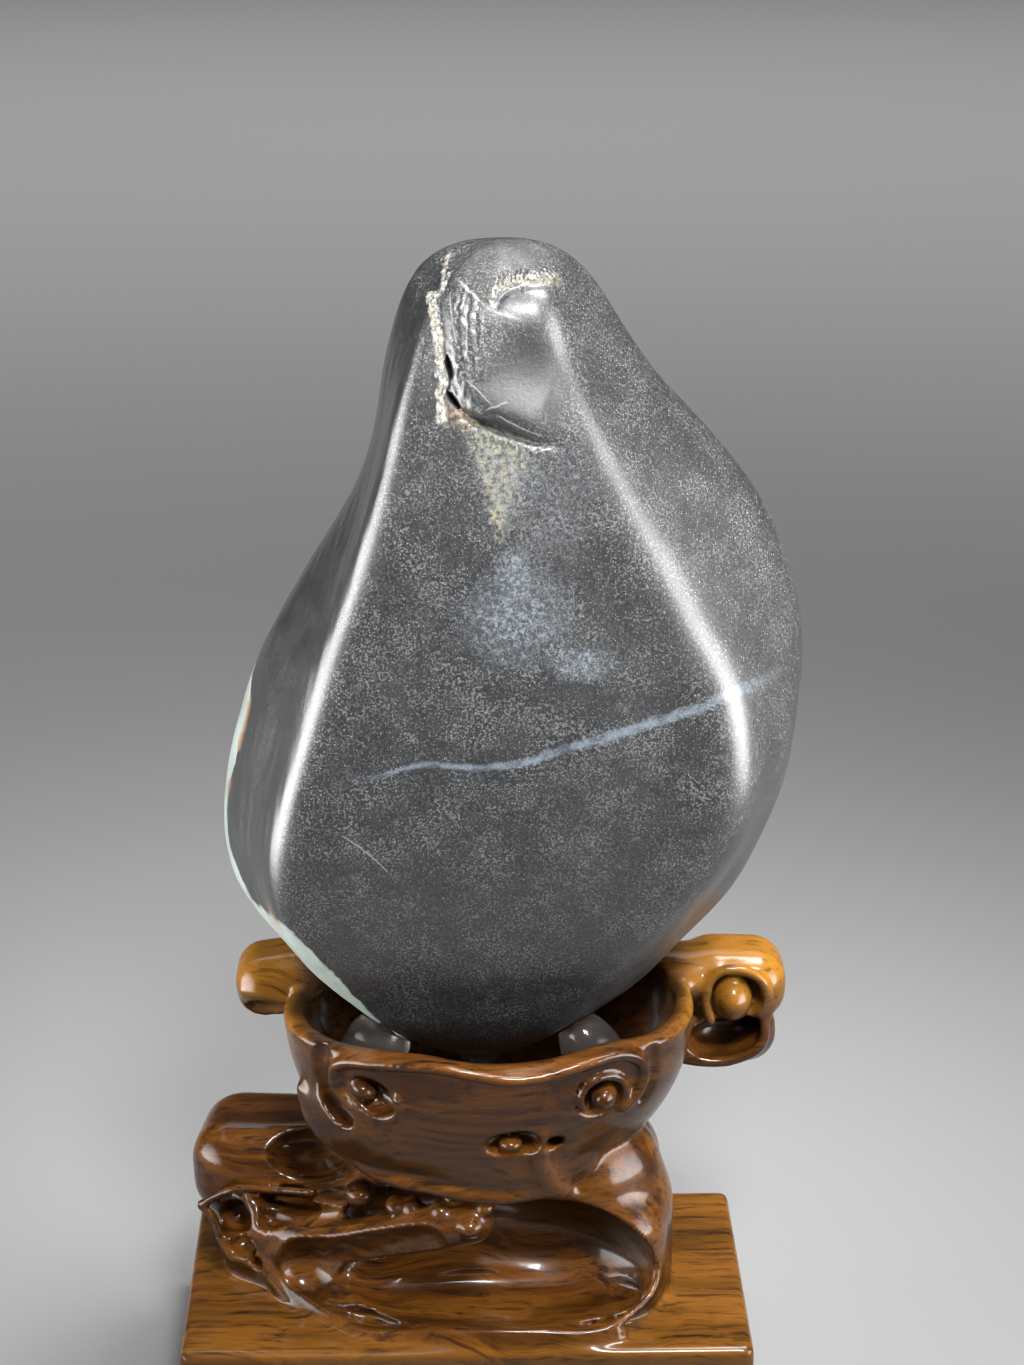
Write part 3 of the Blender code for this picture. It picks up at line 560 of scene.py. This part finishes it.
    # hairlines, each followed along the axis that it runs along most
    for line in scratches:
        (startX, startZ), (endX, endZ) = line[0], line[-1]
        level = abs(endX - startX) > abs(endZ - startZ)
        across, along = (z, x) if level else (x, z)
        points = line if level else [(high, wide) for wide, high in line]
        away = abs(across + (noise(where, 0.9, 2) - 0.5) * 0.5 - follow(along, points))
        low, high = sorted((points[0][0], points[-1][0]))
        mark = rise(away, 0.2, 0.08) * rise(along, low, low + 1) * rise(along, high, high - 1) * front
        colour = blend(mark * cover["scratch"], colour, look["scratch"])

    rimTone = blend(rise(noise(where, 0.6, 3), 0.48, 0.7), look["crystal"], look["rimGold"])
    rimTone = blend(rise(noise(where, 1.3, 4, 0.7), 0.58, 0.44), rimTone, look["rimShade"])
    colour = blend(rim, colour, rimTone)
    rustSpot = patch(*look["rustPlace"]) * front
    colour = blend(rustSpot * crumble * cover["rust"], colour, look["rust"])

    # the pale layer at the lower left and behind, with rust along its edge
    wave = (noise(where, 0.35, 4, 0.6) - 0.5) * 2.4
    behind = y - follow(z, layerLine) - (x + 40) * 0.75 + wave
    corner = 34.0 - x * 0.683 - y * 0.381 - z * 0.623 + wave * 0.6
    layer = behind.atLeast(corner)
    paleTone = blend(rise(noise(where, 0.12, 4), 0.35, 0.7), look["paleLayer"], look["paleShade"])
    colour = blend(rise(layer, -0.15, 0.25), colour, paleTone)
    stain = rise(layer, -2.2, 0.2) * rise(layer, 2.5, 0.4) * rise(z, 96, 104)
    stain = stain * rise(noise(where, 0.16, 2), 0.52, 0.62)
    colour = blend(stain * cover["rust"], colour, look["rust"])
    feed(shader, "Base Color", colour)

    gloss = look["roughness"] + (noise(where, 0.25, 3) - 0.5) * 0.14
    gloss = gloss + grain * 0.08 + rim * 0.25 + wedge * 0.15 - shadedLeftSide * 0.10
    feed(shader, "Roughness", gloss)
    feed(shader, "Coat Weight", look["coat"] - rise(nz, -0.05, -0.4) * look["coatLostBelow"])
    pits = rise(noise(where, 1.3, 3, 0.6), 0.38, 0.5)
    height = mottle * 0.35 + pits * 0.35 + (rim + wedge + browMask) * rough * 2.5
    bump = {"Strength": 0.35, "Distance": look["pitDepth"] * mm, "Height": height}
    feed(shader, "Normal", start.add("ShaderNodeBump", None, bump))
    return paint


def makeStone():
    cage = newObject("stone cage", stoneCage())
    smooth = cage.modifiers.new("smooth", "SUBSURF")
    smooth.levels = smooth.render_levels = 5
    mesh = settled(cage)
    bpy.data.objects.remove(cage)
    sculpt(mesh)
    stone = newObject("stone sculpt", mesh)
    thinOut(stone, stoneLook["faces"])
    stone = finished(stone, "blackStone", stonePaint())
    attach(stone, "root")
    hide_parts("stone")
    print("stone: carved and painted")
    return stone


# the stand, carved as one distance field: lengths in millimetres, turns in degrees
standLook = {
    "light": (0.125, 0.044, 0.0068),
    "mid": (0.040, 0.0130, 0.0020),
    "dark": (0.008, 0.0032, 0.0013),
    # painted light: the gold tone put where light falls on the plinth and the handle heads
    "litGold": (0.29, 0.125, 0.014),
    "varnish": {"IOR": 1.5, "Specular IOR Level": 0.12, "Coat Weight": 0.45, "Coat Roughness": 0.10,
                "Coat IOR": 1.5},
    # lumps of each pattern in a millimetre
    "lumps": {"bend": 0.025, "figure": 0.16, "streaks": 0.75, "hairs": 2.1, "pores": 2.2},
    # how strongly each covers the wood; the plinth and head golds are painted light, and the shade is painted
    # shade
    "cover": {"streaks": 0.85, "hairs": 0.5, "pores": 0.6, "plinthLitGold": 0.24, "headLitGold": 0.7,
              "shade": 0.72},
    "roughness": 0.30,
    "poreDepth": 0.1,
    "bowlCentre": (4.5, -1, 76),
    "bowlRadii": (38.0, 26.5, 35),
    "hollowCentre": (4.5, -1, 80),
    "hollowRadii": (34.6, 23.0, 25),
    "rimHeight": 76.5,
    "rimThickness": 1.7,
    "low": (-60, -36, -6),  # the corners of the space that is carved
    "high": (68, 36, 90),
    "grid": 0.55,
    "polish": (0.5, 3),  # strength and passes
    "shrink": 0.9995,  # keeps the polished edges inside the stated size
    "faces": 190000,
}
bowlCentre = Vector(standLook["bowlCentre"])
bowlRadii = Vector(standLook["bowlRadii"])
guides = []  # the curves that the cords follow, removed once the stand is cut


class Carving:
    def __init__(self, name):
        self.tree = bpy.data.node_groups.new(name, "GeometryNodeTree")
        self.tree.interface.new_socket("Geometry", in_out="OUTPUT", socket_type="NodeSocketGeometry")
        self.place = Socket(self.tree, self.tree.nodes.new("GeometryNodeInputPosition").outputs[0])

    def local(self, centre, turn):
        moved = self.place.vector("SUBTRACT", self.place, Vector(centre) * mm)
        if not any(turn):
            return moved
        return moved.add("ShaderNodeVectorRotate", {"rotation_type": "EULER_XYZ", "invert": True},
                         {"Vector": moved, "Rotation": [math.radians(angle) for angle in turn]})

    def lobe(self, centre, radii, turn=(0, 0, 0)):
        # an ellipsoid
        spot = self.local(centre, turn)
        size = Vector(radii) * mm
        near = spot.vector("LENGTH", spot.vector("DIVIDE", spot, size), output="Value")
        square = Vector([side * side for side in size])
        slope = spot.vector("LENGTH", spot.vector("DIVIDE", spot, square), output="Value")
        return near * (near - 1.0) / slope.atLeast(1.0)

    def block(self, centre, half, corner, turn=(0, 0, 0)):
        # a box with rounded edges
        spot = self.local(centre, turn)
        core = Vector([side - corner for side in half]) * mm
        past = spot.vector("SUBTRACT", spot.vector("ABSOLUTE", spot), core)
        outside = past.vector("LENGTH", past.vector("MAXIMUM", past, (0, 0, 0)), output="Value")
        across, along, up = past.parts()
        return outside + across.atLeast(along).atLeast(up).atMost(0.0) - corner * mm

    def below(self, height):
        return self.place.parts()[2] - height * mm

    def cord(self, points, radius, closed=False):
        # a round bar along a smooth curve through the points
        spots = smoothLine(points, closed)
        edges = [(spot, spot + 1) for spot in range(len(spots) - 1)]
        if closed:
            edges.append((len(spots) - 1, 0))
        mesh = bpy.data.meshes.new("guide line")
        mesh.from_pydata([spot * mm for spot in spots], edges, [])
        guide = newObject("guide line", mesh)
        guide.hide_render = True
        guides.append(guide)
        curve = self.place.add("GeometryNodeObjectInfo", None, {"Object": guide}, "Geometry")
        away = curve.add("GeometryNodeProximity", {"target_element": "EDGES"}, {0: curve}, "Distance")
        return away - radius * mm

    def finish(self, shape, low, high, grid):
        # the skin where the distance is nought
        low, high = Vector(low), Vector(high)
        counts = {"Resolution " + name: round((high[axis] - low[axis]) / grid)
                  for axis, name in enumerate("XYZ")}
        cube = shape.add("GeometryNodeVolumeCube", None, {"Density": -shape, "Background": -1.0,
                                                          "Min": low * mm, "Max": high * mm, **counts})
        skin = cube.add("GeometryNodeVolumeToMesh", None, {"Volume": cube, "Threshold": 0.0})
        result = self.tree.nodes.new("NodeGroupOutput")
        self.tree.links.new(skin.output, result.inputs[0])
        return self.tree


def bowlFace(x, z, out=0.0):
    # a point on the front of the bowl, moved outward if asked
    depth = math.sqrt(1 - ((x - bowlCentre.x) / bowlRadii.x) ** 2 - ((z - bowlCentre.z) / bowlRadii.z) ** 2)
    return Vector((x, bowlCentre.y - bowlRadii.y * depth - out, z))


def onBowl(spots, out):
    return [bowlFace(x, z, out) for x, z in spots]


# the height of the rim round the bowl, as (degrees from the right, Z)
rimWave = ((0, 77.4), (90, 77.0), (180, 75.4), (213, 75.3), (249, 76.8), (274, 74.7), (306, 77.2),
           (325, 75.9), (345, 76.6))
# the crisp edge of the carved front, from the left end of the hull around the scoop and along the apron
hullEdge = [(-38.5, -6, 29.5), (-36.7, -8.5, 26.3), (-34.3, -10.5, 24), (-30.5, -13.5, 22.2),
            (-25.7, -17.5, 21.1), (-19.5, -23, 20.6), (-11.5, -25.5, 21.5), (2.3, -27, 22.8),
            (16.2, -27, 22.4), (21.5, -26.8, 22.0), (27.3, -25.3, 22.9), (33.4, -21.5, 26),
            (35.6, -18.3, 29.5), (34.6, -17, 34.2), (30.0, -17, 40.2), (24.0, -17.5, 44.4), (16.5, -19.5, 48.0)]
apronEdge = [(16.5, -19.5, 48.0), (10.5, -20.6, 47.4), (5.2, -21, 46.9), (-0.5, -20.8, 47.6),
             (-6.7, -20, 48.8), (-12.6, -19, 49.6), (-17.7, -17, 50.9), (-21, -15.5, 53), (-25, -13.5, 55.8),
             (-27.7, -11.8, 59.4), (-30.0, -11, 65.0)]


def rimPoints(count=36):
    inward = standLook["rimThickness"]
    points = []
    for number in range(count):
        turn = 2 * math.pi * number / count
        height = np.interp(math.degrees(turn), *zip(*rimWave), period=360)
        points.append((bowlCentre.x + (bowlRadii.x - inward) * math.cos(turn),
                       bowlCentre.y + (bowlRadii.y - inward) * math.sin(turn), height))
    return points


def carveMound(wood):
    mound = wood.lobe((3, 5, 30), (33, 21, 20))
    mound = mound.join(wood.block((18, 3, 31), (20.5, 19, 17), 10, (0, 0, 4)), 4)
    mound = mound.join(wood.block((17.5, -7, 31), (20.0, 15, 14), 10), 4)
    mound = mound.join(wood.lobe((20.5, -5, 44), (16.5, 14, 15)), 4)
    mound = mound.join(wood.lobe((5, -10, 31), (31, 18.5, 15.5), (14, 0, 0)), 5)
    mound = mound.join(wood.block((-32, 11, 39), (20, 12.5, 10), 8, (0, -2, -8)), 3)
    # the low hull at the left front, which slants back towards the corner
    mound = mound.join(wood.block((-27, 0, 28), (20, 13.0, 11), 9, (0, 0, -33)), 3)
    skirt = wood.cord([(x, y + 1.0, z - 1.9) for x, y, z in hullEdge[:11]], 2.3)
    plinth = wood.block((0, 0, 9), (53, 29.5, 11), 1.6)
    return plinth.join(mound, 4).join(skirt, 2.5)


def carveFront(wood, body):
    # the long scoop low on the front, with its dished floor
    mouth = wood.block((-4, -25, 34.8), (23.5, 19.0, 11.8), 11)
    rounder = wood.lobe((12, -22, 33.5), (23.5, 17, 13.5), (0, 8, 0)).keep(-wood.below(22.8), 1.0)
    body = body.cut(mouth.join(rounder, 2.0), 0.6)
    body = body.cut(wood.lobe((6, -17.5, 24.7), (27, 8.4, 3.9)), 1.0)
    body = body.cut(wood.lobe((-26, -18, 29.5), (12, 8, 7.0), (0, 0, -33)), 1.0)
    # the tongue that curls over it from the left
    tongue = wood.cord([(0.9, -18, 41.0), (-6, -18, 39.6), (-13, -16.2, 37.4), (-20, -13.6, 34.6),
                        (-27, -10.5, 31.5)], 4.3)
    tongue = tongue.join(wood.lobe((-29.5, -6.5, 30), (9, 7.5, 8), (0, -20, -33)), 3)
    body = body.join(tongue, 1.2)
    under = [(-9, -26, 37.6), (-17, -22.9, 34.3), (-24, -19.8, 31), (-30.5, -15.2, 28.2)]
    body = body.cut(wood.cord(under, 6.6), 0.5)
    # the valley between tongue and block, and the cave at its end
    valley = [(-37, -5.0, 34.5), (-30, -8.3, 36.6), (-22, -11.8, 39.6), (-13, -15.8, 43.6)]
    body = body.cut(wood.cord(valley, 2.6), 0.6)
    body = body.cut(wood.lobe((-33, -3.2, 37.0), (6.5, 6.5, 2.4), (0, 0, -20)), 0.5)
    # the hollow under the bowl's left side
    body = body.cut(wood.lobe((-29.5, -4.5, 45.7), (10, 9.5, 5.6), (0, 4, -12)), 0.6)
    # the small rooms at the far left, and the lips round them
    body = body.cut(wood.lobe((-44.0, -2.2, 32.6), (4.4, 6.0, 3.5), (0, -18, -30)), 0.5)
    body = body.cut(wood.lobe((-42.6, -5.2, 28.4), (3.4, 4.2, 2.3), (0, -15, -30)), 0.5)
    body = body.cut(wood.lobe((-39.6, -6, 26.2), (2.3, 4, 1.4), (0, 15, -30)), 0.4)
    for line in (((-50.5, 0.5, 34.3), (-46.5, -1.2, 37.6), (-42.4, -2.0, 39.3), (-36.2, -3.0, 39.4),
                  (-29, -5.8, 40.3)),
                 ((-50.5, 0.5, 34.3), (-48.0, -0.8, 31.4), (-46.8, -2.2, 28.0), (-44.6, -3.6, 24.6)),
                 ((-41.5, -2.5, 37.5), (-40.1, -3.4, 35.3), (-38.5, -4.8, 33.1), (-35.3, -6.8, 31.5))):
        body = body.join(wood.cord(line, 0.8), 1.5)
    body = body.join(wood.cord(hullEdge, 0.75), 1.0)
    # small round pieces left standing in the valley
    for place, size in (((-19.8, -10.2, 42.7), 3.0), ((-13.0, -14.9, 42.5), 2.2), ((-10.0, -15.8, 43.0), 2.0),
                        ((-4.8, -18.4, 43.8), 1.8), ((-2.2, -16.4, 46.0), 2.0), ((3.4, -18.8, 44.5), 2.0),
                        ((0.6, -20.4, 41.6), 2.8)):
        body = body.join(wood.lobe(place, (size, size + 0.6, size * 0.8)), 1.0)
    return body


def carveBowl(wood, body):
    cup = wood.lobe(bowlCentre, bowlRadii).keep(wood.below(standLook["rimHeight"]), 1.0)
    cup = cup.join(wood.lobe((0, -15.5, 61), (24, 8.5, 16.5), (16, 0, 0)), 3)
    cup = cup.join(wood.lobe((-4, -9.5, 62), (26.5, 13, 15.0), (8, 0, 0)), 3)
    cup = cup.join(wood.lobe((7, -14, 53.5), (18, 8.5, 8), (16, 4, 0)), 3)
    cup = cup.join(wood.cord(apronEdge, 1.0), 3.5)
    body = body.join(cup, 0.7)
    crest = [(12.8, -24.4, 61.0), (13.2, -22.6, 55.5), (15.0, -20.8, 50.8), (17.5, -19.4, 47.8)]
    body = body.join(wood.cord(crest, 1.2), 4.0)
    return body.join(wood.cord(rimPoints(), standLook["rimThickness"], True), 1.5)


def carveScrolls(wood, body):
    lip = onBowl(((-23.6, 70.5), (-23.8, 73.2), (-21.5, 75.3), (-17, 76.2), (-11, 77.0), (-5, 77.2),
                  (1, 76.2), (8, 74.9), (14, 75.2), (21, 76.6), (27.2, 77.2), (31.0, 75.4), (32.4, 72),
                  (31.3, 68.2), (28.6, 65.4)), 0.6)
    body = body.join(wood.cord(lip, 1.1), 0.9)
    # the round volute at the right, with its bead
    body = body.cut(wood.lobe(bowlFace(24.9, 69.0, 1.8), (5.4, 5.0, 5.2)), 0.5)
    ring = onBowl([(24.8 + 4.2 * math.cos(turn), 69.0 + 4.2 * math.sin(turn))
                   for turn in np.linspace(-0.6, 3.6, 12)], 0.2)
    body = body.join(wood.cord(ring, 0.8), 0.6)
    body = body.join(wood.lobe(bowlFace(24.9, 68.4, -1.4), (2.5, 3.4, 2.5)), 0.5)
    # the almond volute at the left, in the crook of a groove
    body = body.cut(wood.lobe(bowlFace(-17.2, 69.2, 1.6), (5.4, 5.0, 3.3), (0, 28, 0)), 0.5)
    body = body.join(wood.lobe(bowlFace(-18.4, 69.6, -1.6), (2.7, 2.8, 1.8), (0, 28, 0)), 0.5)
    crook = onBowl(((-24.2, 70.5), (-22.6, 67.6), (-19.2, 65.2), (-15, 64.6), (-12.2, 66.4),
                    (-12.3, 69.6)), 0.4)
    body = body.join(wood.cord(crook, 0.9), 0.8)
    left = onBowl(((-26.3, 75.6), (-27.1, 72), (-26.2, 68.6), (-23.8, 64.8), (-21.4, 63.2)), 0.9)
    body = body.cut(wood.cord(left, 1.9), 0.5)
    right = onBowl(((34.2, 75.2), (34.6, 71.5), (34.0, 67.6), (32.6, 65.2)), 0.9)
    body = body.cut(wood.cord(right, 1.7), 0.5)
    # the small hole low on the apron and the dark one beside it
    body = body.cut(wood.lobe((8.4, -25.4, 60.2), (5.4, 4.4, 2.9), (0, -8, 0)), 0.6)
    body = body.join(wood.lobe((8.0, -23.6, 60.0), (2.2, 2.2, 1.4)), 0.5)
    body = body.cut(wood.lobe((15.8, -22, 59.8), (1.9, 4.5, 1.4)), 0.5)
    return body


def carveHandles(wood, body):
    # the right handle, with its curled head above an open loop
    right = wood.block((51.2, 14, 74.9), (10.0, 8.8, 7.3), 6.4, (0, 2, 0))
    right = right.join(wood.block((48.8, 14, 64.8), (10.8, 7.5, 6.3), 5.6, (0, -3, 0)), 1.2)
    right = right.join(wood.lobe((41, 12, 77.5), (9, 8, 4.8)), 3)
    body = body.join(right, 2.0)
    body = body.cut(wood.lobe((50.8, 5.2, 74.6), (5.6, 5.2, 5.6)), 0.6)
    body = body.join(wood.lobe((50.7, 8.2, 73.6), (3.9, 5.0, 4.6)), 0.5)
    body = body.cut(wood.lobe((49.6, 6.5, 65.2), (7.6, 7.5, 4.3), (0, -6, 0)), 0.6)
    body = body.cut(wood.lobe((53.9, 9, 67.4), (2.9, 9, 2.5)), 0.5)
    curl = [(46.6, 5.6, 69.8), (45.6, 5.4, 72.7), (45.6, 5.2, 75.6), (46.3, 5.2, 78.4), (48.4, 5.2, 80.4),
            (51.2, 5.2, 80.6), (54.0, 5.2, 79.8), (56.2, 5.2, 78.0), (57.0, 5.6, 75.2)]
    body = body.join(wood.cord(curl, 1.0), 1.2)
    ribbon = [(41.5, 8, 60.6), (45.5, 7.4, 60.2), (49.6, 7.2, 60.3), (53.2, 7.2, 61.4), (55.9, 7.2, 63.2),
              (57.0, 7.4, 65.8), (57.0, 7.6, 68.4), (57.6, 8, 70.6)]
    body = body.join(wood.cord(ribbon, 1.0), 1.2)
    # the left handle, a plain head with one lip
    left = wood.block((-34.6, 15, 75.6), (8.8, 8.2, 6.2), 5.4, (0, -8, 0))
    left = left.cut(wood.lobe((-38.0, 5.5, 70.8), (6.5, 5.5, 3.6)), 0.8)
    lip = [(-41.6, 8.8, 75.4), (-38.6, 7.6, 75.3), (-35.2, 7.2, 74.6), (-31.5, 7.2, 73.6)]
    left = left.join(wood.cord(lip, 0.9), 1.2)
    return body.join(left, 2.0)


def carveBack(wood, body):
    # shallow hollows behind and at the sides
    body = body.cut(wood.lobe((-20, 27, 37), (17, 10, 8), (0, 8, 0)), 0.8)
    body = body.cut(wood.lobe((19, 25, 35), (15, 9, 9), (0, -10, 0)), 0.8)
    body = body.cut(wood.lobe((40, 6, 34), (6, 10, 8)), 0.8)
    return body.cut(wood.lobe((-50, 25, 37), (11, 7, 6), (0, 0, 20)), 0.8)


def carveStand():
    look = standLook
    wood = Carving("stand carving")
    body = carveFront(wood, carveMound(wood))
    body = carveBack(wood, body)
    body = carveBowl(wood, body)
    body = carveHandles(wood, body)
    body = body.cut(wood.lobe(look["hollowCentre"], look["hollowRadii"]), 1.0)
    body = carveScrolls(wood, body)
    body = body.keep(-wood.below(0), 0.8)
    return wood.finish(body, look["low"], look["high"], look["grid"])


def woodPaint():
    look, lumps, cover = standLook, standLook["lumps"], standLook["cover"]
    paint, shader, start = newPaint("varnished rosewood", look["varnish"])
    where = inMillimetres(start)
    x, y, z = where.parts()
    # the grain runs along the plinth, bending a little
    bend = noise(where, lumps["bend"], 2)
    along = start.add("ShaderNodeCombineXYZ", None, {0: x * 0.07, 1: y + bend * 14, 2: z + bend * 22})
    straight = start.add("ShaderNodeCombineXYZ", None, {0: x * 0.18, 1: y, 2: z})
    figure = noise(along, lumps["figure"], 5, 0.6, 0.6)
    streak = noise(along, lumps["streaks"], 4, 0.65)
    hairs = noise(along, lumps["hairs"], 3, 0.6)
    pores = noise(straight, lumps["pores"], 2, 0.5)
    plinth = rise(z, 22.5, 19.5)
    colour = blend(rise(figure, 0.38, 0.60), look["mid"], look["light"])
    colour = blend(rise(streak, 0.50, 0.68) * (cover["streaks"] - 0.3 * plinth), colour, look["dark"])
    colour = blend(rise(hairs, 0.52, 0.68) * cover["hairs"], colour, look["dark"])
    colour = blend(rise(pores, 0.66, 0.78) * cover["pores"], colour, look["dark"])
    # painted light: a lighter gold, a little on the plinth and most on both handle heads, where the light falls
    colour = blend(plinth * rise(streak, 0.66, 0.48) * cover["plinthLitGold"], colour, look["litGold"])
    heads = rise(z, 66, 74) * rise(abs(x - bowlCentre.x), 33, 40)
    litHeadTone = blend(rise(streak, 0.5, 0.75), look["litGold"], look["mid"])
    colour = blend(heads * cover["headLitGold"], colour, litHeadTone)
    # painted shade: what faces down is darkened
    facing = start.add("ShaderNodeNewGeometry", output="Normal").parts()[2]
    colour = blend(rise(facing, 0.5, -0.35) * cover["shade"], colour, look["dark"])
    feed(shader, "Base Color", colour)
    feed(shader, "Roughness", look["roughness"] + rise(streak, 0.4, 0.8) * 0.12)
    bump = {"Strength": 0.25, "Distance": look["poreDepth"] * mm, "Height": 1 - rise(pores, 0.62, 0.8)}
    feed(shader, "Normal", start.add("ShaderNodeBump", None, bump))
    return paint


def makeStand():
    look = standLook
    stand = newObject("stand block", bpy.data.meshes.new("stand block"))
    carving = stand.modifiers.new("carving", "NODES")
    carving.node_group = carveStand()
    polish = stand.modifiers.new("polish", "SMOOTH")
    polish.factor, polish.iterations = look["polish"]
    thinOut(stand, look["faces"])
    stand = finished(stand, "carvedStand", woodPaint())
    stand.data.transform(Matrix.Scale(look["shrink"], 4))
    for guide in guides:
        bpy.data.objects.remove(guide)
    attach(stand, "root")
    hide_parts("stand")
    print("stand: carved and varnished")


# the clear pads, each pressed between bowl and stone: lengths in millimetres, turns in degrees
padLook = {
    "gel": {"Base Color": (0.92, 0.96, 0.98), "Transmission Weight": 0.97, "Roughness": 0.16, "IOR": 1.43},
    "gap": 0.35,
    "presses": 6,
    "fineness": 5,
    # piece, node, centre, radii, turn
    "pads": (("leftPad", "pad_left", (-17, -4, 69), (6.3, 6.2, 9), (0, 25, 0)),
             ("rightPad", "pad_right", (24, -4, 68), (5.6, 5.8, 9), (0, -30, 0)),
             ("backPad", "pad_back", (3, 11, 67), (6, 6, 9), (0, 0, 0))),
}


def ball(name, centre, radii, turn):
    mesh = bpy.data.meshes.new(name)
    form = bmesh.new()
    bmesh.ops.create_icosphere(form, subdivisions=padLook["fineness"], radius=1)
    spin = Matrix.Rotation(math.radians(turn[2]), 4, "Z") @ Matrix.Rotation(math.radians(turn[1]), 4, "Y")
    stretch = Matrix.Diagonal((*(Vector(radii) * mm), 1))
    placed = Matrix.Translation(Vector(centre) * mm) @ spin @ stretch
    bmesh.ops.transform(form, matrix=placed, verts=form.verts)
    form.to_mesh(mesh)
    form.free()
    mesh.shade_smooth()
    return newObject(name, mesh)


def makePads(stone):
    gap = padLook["gap"]
    centre = Vector(standLook["hollowCentre"])
    radii = [side - gap for side in standLook["hollowRadii"]]
    skin = BVHTree.FromPolygons([vertex.co / mm for vertex in stone.data.vertices],
                                [tuple(face.vertices) for face in stone.data.polygons])
    paint = newPaint("clear gel pad", padLook["gel"])[0]
    for name, node, place, size, turn in padLook["pads"]:
        pad = ball(name, place, size, turn)
        for vertex in pad.data.vertices:
            spot = vertex.co / mm
            for attempt in range(padLook["presses"]):
                # pressed inside the bowl, then away from the stone
                share = Vector([(spot[axis] - centre[axis]) / radii[axis] for axis in range(3)])
                if share.length > 1:
                    spot = centre + Vector([share[axis] / share.length * radii[axis] for axis in range(3)])
                near, normal, face, away = skin.find_nearest(spot)
                if (spot - near).dot(normal) < gap:
                    spot = near + normal * gap
            vertex.co = spot * mm
        pad.data.materials.append(paint)
        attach(pad, "root")
        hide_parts(node)
    print("pads: pressed between bowl and stone")


# floor, lights and camera, in metres
studioLook = {
    "floor": {"Base Color": (0.22, 0.22, 0.22), "Roughness": 0.7},
    "floorReach": 6,
    "world": 0.05,
    "view": "Standard",  # keeps the black black
    "camera": (-0.001969, -0.514125, 0.327388),
    "right": (0.99978068, -0.02094242, 0.0),
    "up": (0.00716273, 0.34194513, 0.93969262),
    "forward": (0.01967944, 0.93948653, -0.34202014),
    "sensor": 36,
    "focus": 3050 / 1365,  # the lens in heights of the picture
    "clip": (0.01, 20),
    # name, place, what it points at, width, height, spread in degrees, watts
    "lamps": (("left panel", (-0.25, -0.08, 0.285), (-0.03, -0.01, 0.33), 0.26, 0.50, 90, 1.75),
              ("right panel", (0.29, -0.13, 0.285), (0.05, -0.01, 0.33), 0.24, 0.50, 90, 1.75),
              ("top panel", (0.12, -0.46, 0.72), (0.005, -0.01, 0.14), 0.17, 0.14, 40, 0.42),
              ("high panel", (0.20, 0.02, 0.66), (0.02, 0, 0.06), 0.28, 0.28, 60, 0.95),
              ("back panel", (0.0, 1.40, 1.50), (0, 1.45, 0), 2.8, 1.4, 100, 24.0),
              ("front panel", (0.0, -2.10, 1.50), (0, -2.15, 0), 2.8, 1.4, 70, 10.0),
              ("left floor panel", (-2.00, 0.0, 1.50), (-2.05, 0, 0), 1.4, 2.8, 70, 10.0),
              ("right floor panel", (2.00, 0.0, 1.50), (2.05, 0, 0), 1.4, 2.8, 70, 10.0)),
}


def makeFloor():
    far = studioLook["floorReach"]
    mesh = bpy.data.meshes.new("floor")
    mesh.from_pydata([(-far, -far, 0), (far, -far, 0), (far, far, 0), (-far, far, 0)], [], [(0, 1, 2, 3)])
    paint = newPaint("pale floor", studioLook["floor"])[0]
    newObject("floor", mesh, paint)


def makeLamps():
    world = bpy.data.worlds.new("studio air")
    bpy.context.scene.world = world
    world.use_nodes = True
    air = world.node_tree.nodes["Background"]
    air.inputs["Color"].default_value = (1, 1, 1, 1)
    air.inputs["Strength"].default_value = studioLook["world"]
    for name, place, aim, width, height, spread, watts in studioLook["lamps"]:
        lamp = bpy.data.lights.new(name, "AREA")
        lamp.shape = "RECTANGLE"
        lamp.size, lamp.size_y, lamp.energy = width, height, watts
        lamp.spread = math.radians(spread)
        holder = newObject(name, lamp)
        holder.location = place
        holder.rotation_euler = (Vector(aim) - Vector(place)).to_track_quat("-Z", "Y").to_euler()


def makeCamera():
    look = studioLook
    data = bpy.data.cameras.new("camera")
    data.sensor_fit = "VERTICAL"
    data.sensor_height = look["sensor"]
    data.lens = look["sensor"] * look["focus"]
    data.clip_start, data.clip_end = look["clip"]
    camera = newObject("camera", data)
    turn = Matrix((look["right"], look["up"], -Vector(look["forward"]))).transposed()
    camera.matrix_world = Matrix.Translation(look["camera"]) @ turn.to_4x4()
    bpy.context.scene.camera = camera
    bpy.context.scene.view_settings.view_transform = look["view"]


stone = makeStone()
makeStand()
makePads(stone)
makeFloor()
makeLamps()
makeCamera()
print("studio: floor, lamps and camera set")
bpy.context.view_layer.update()
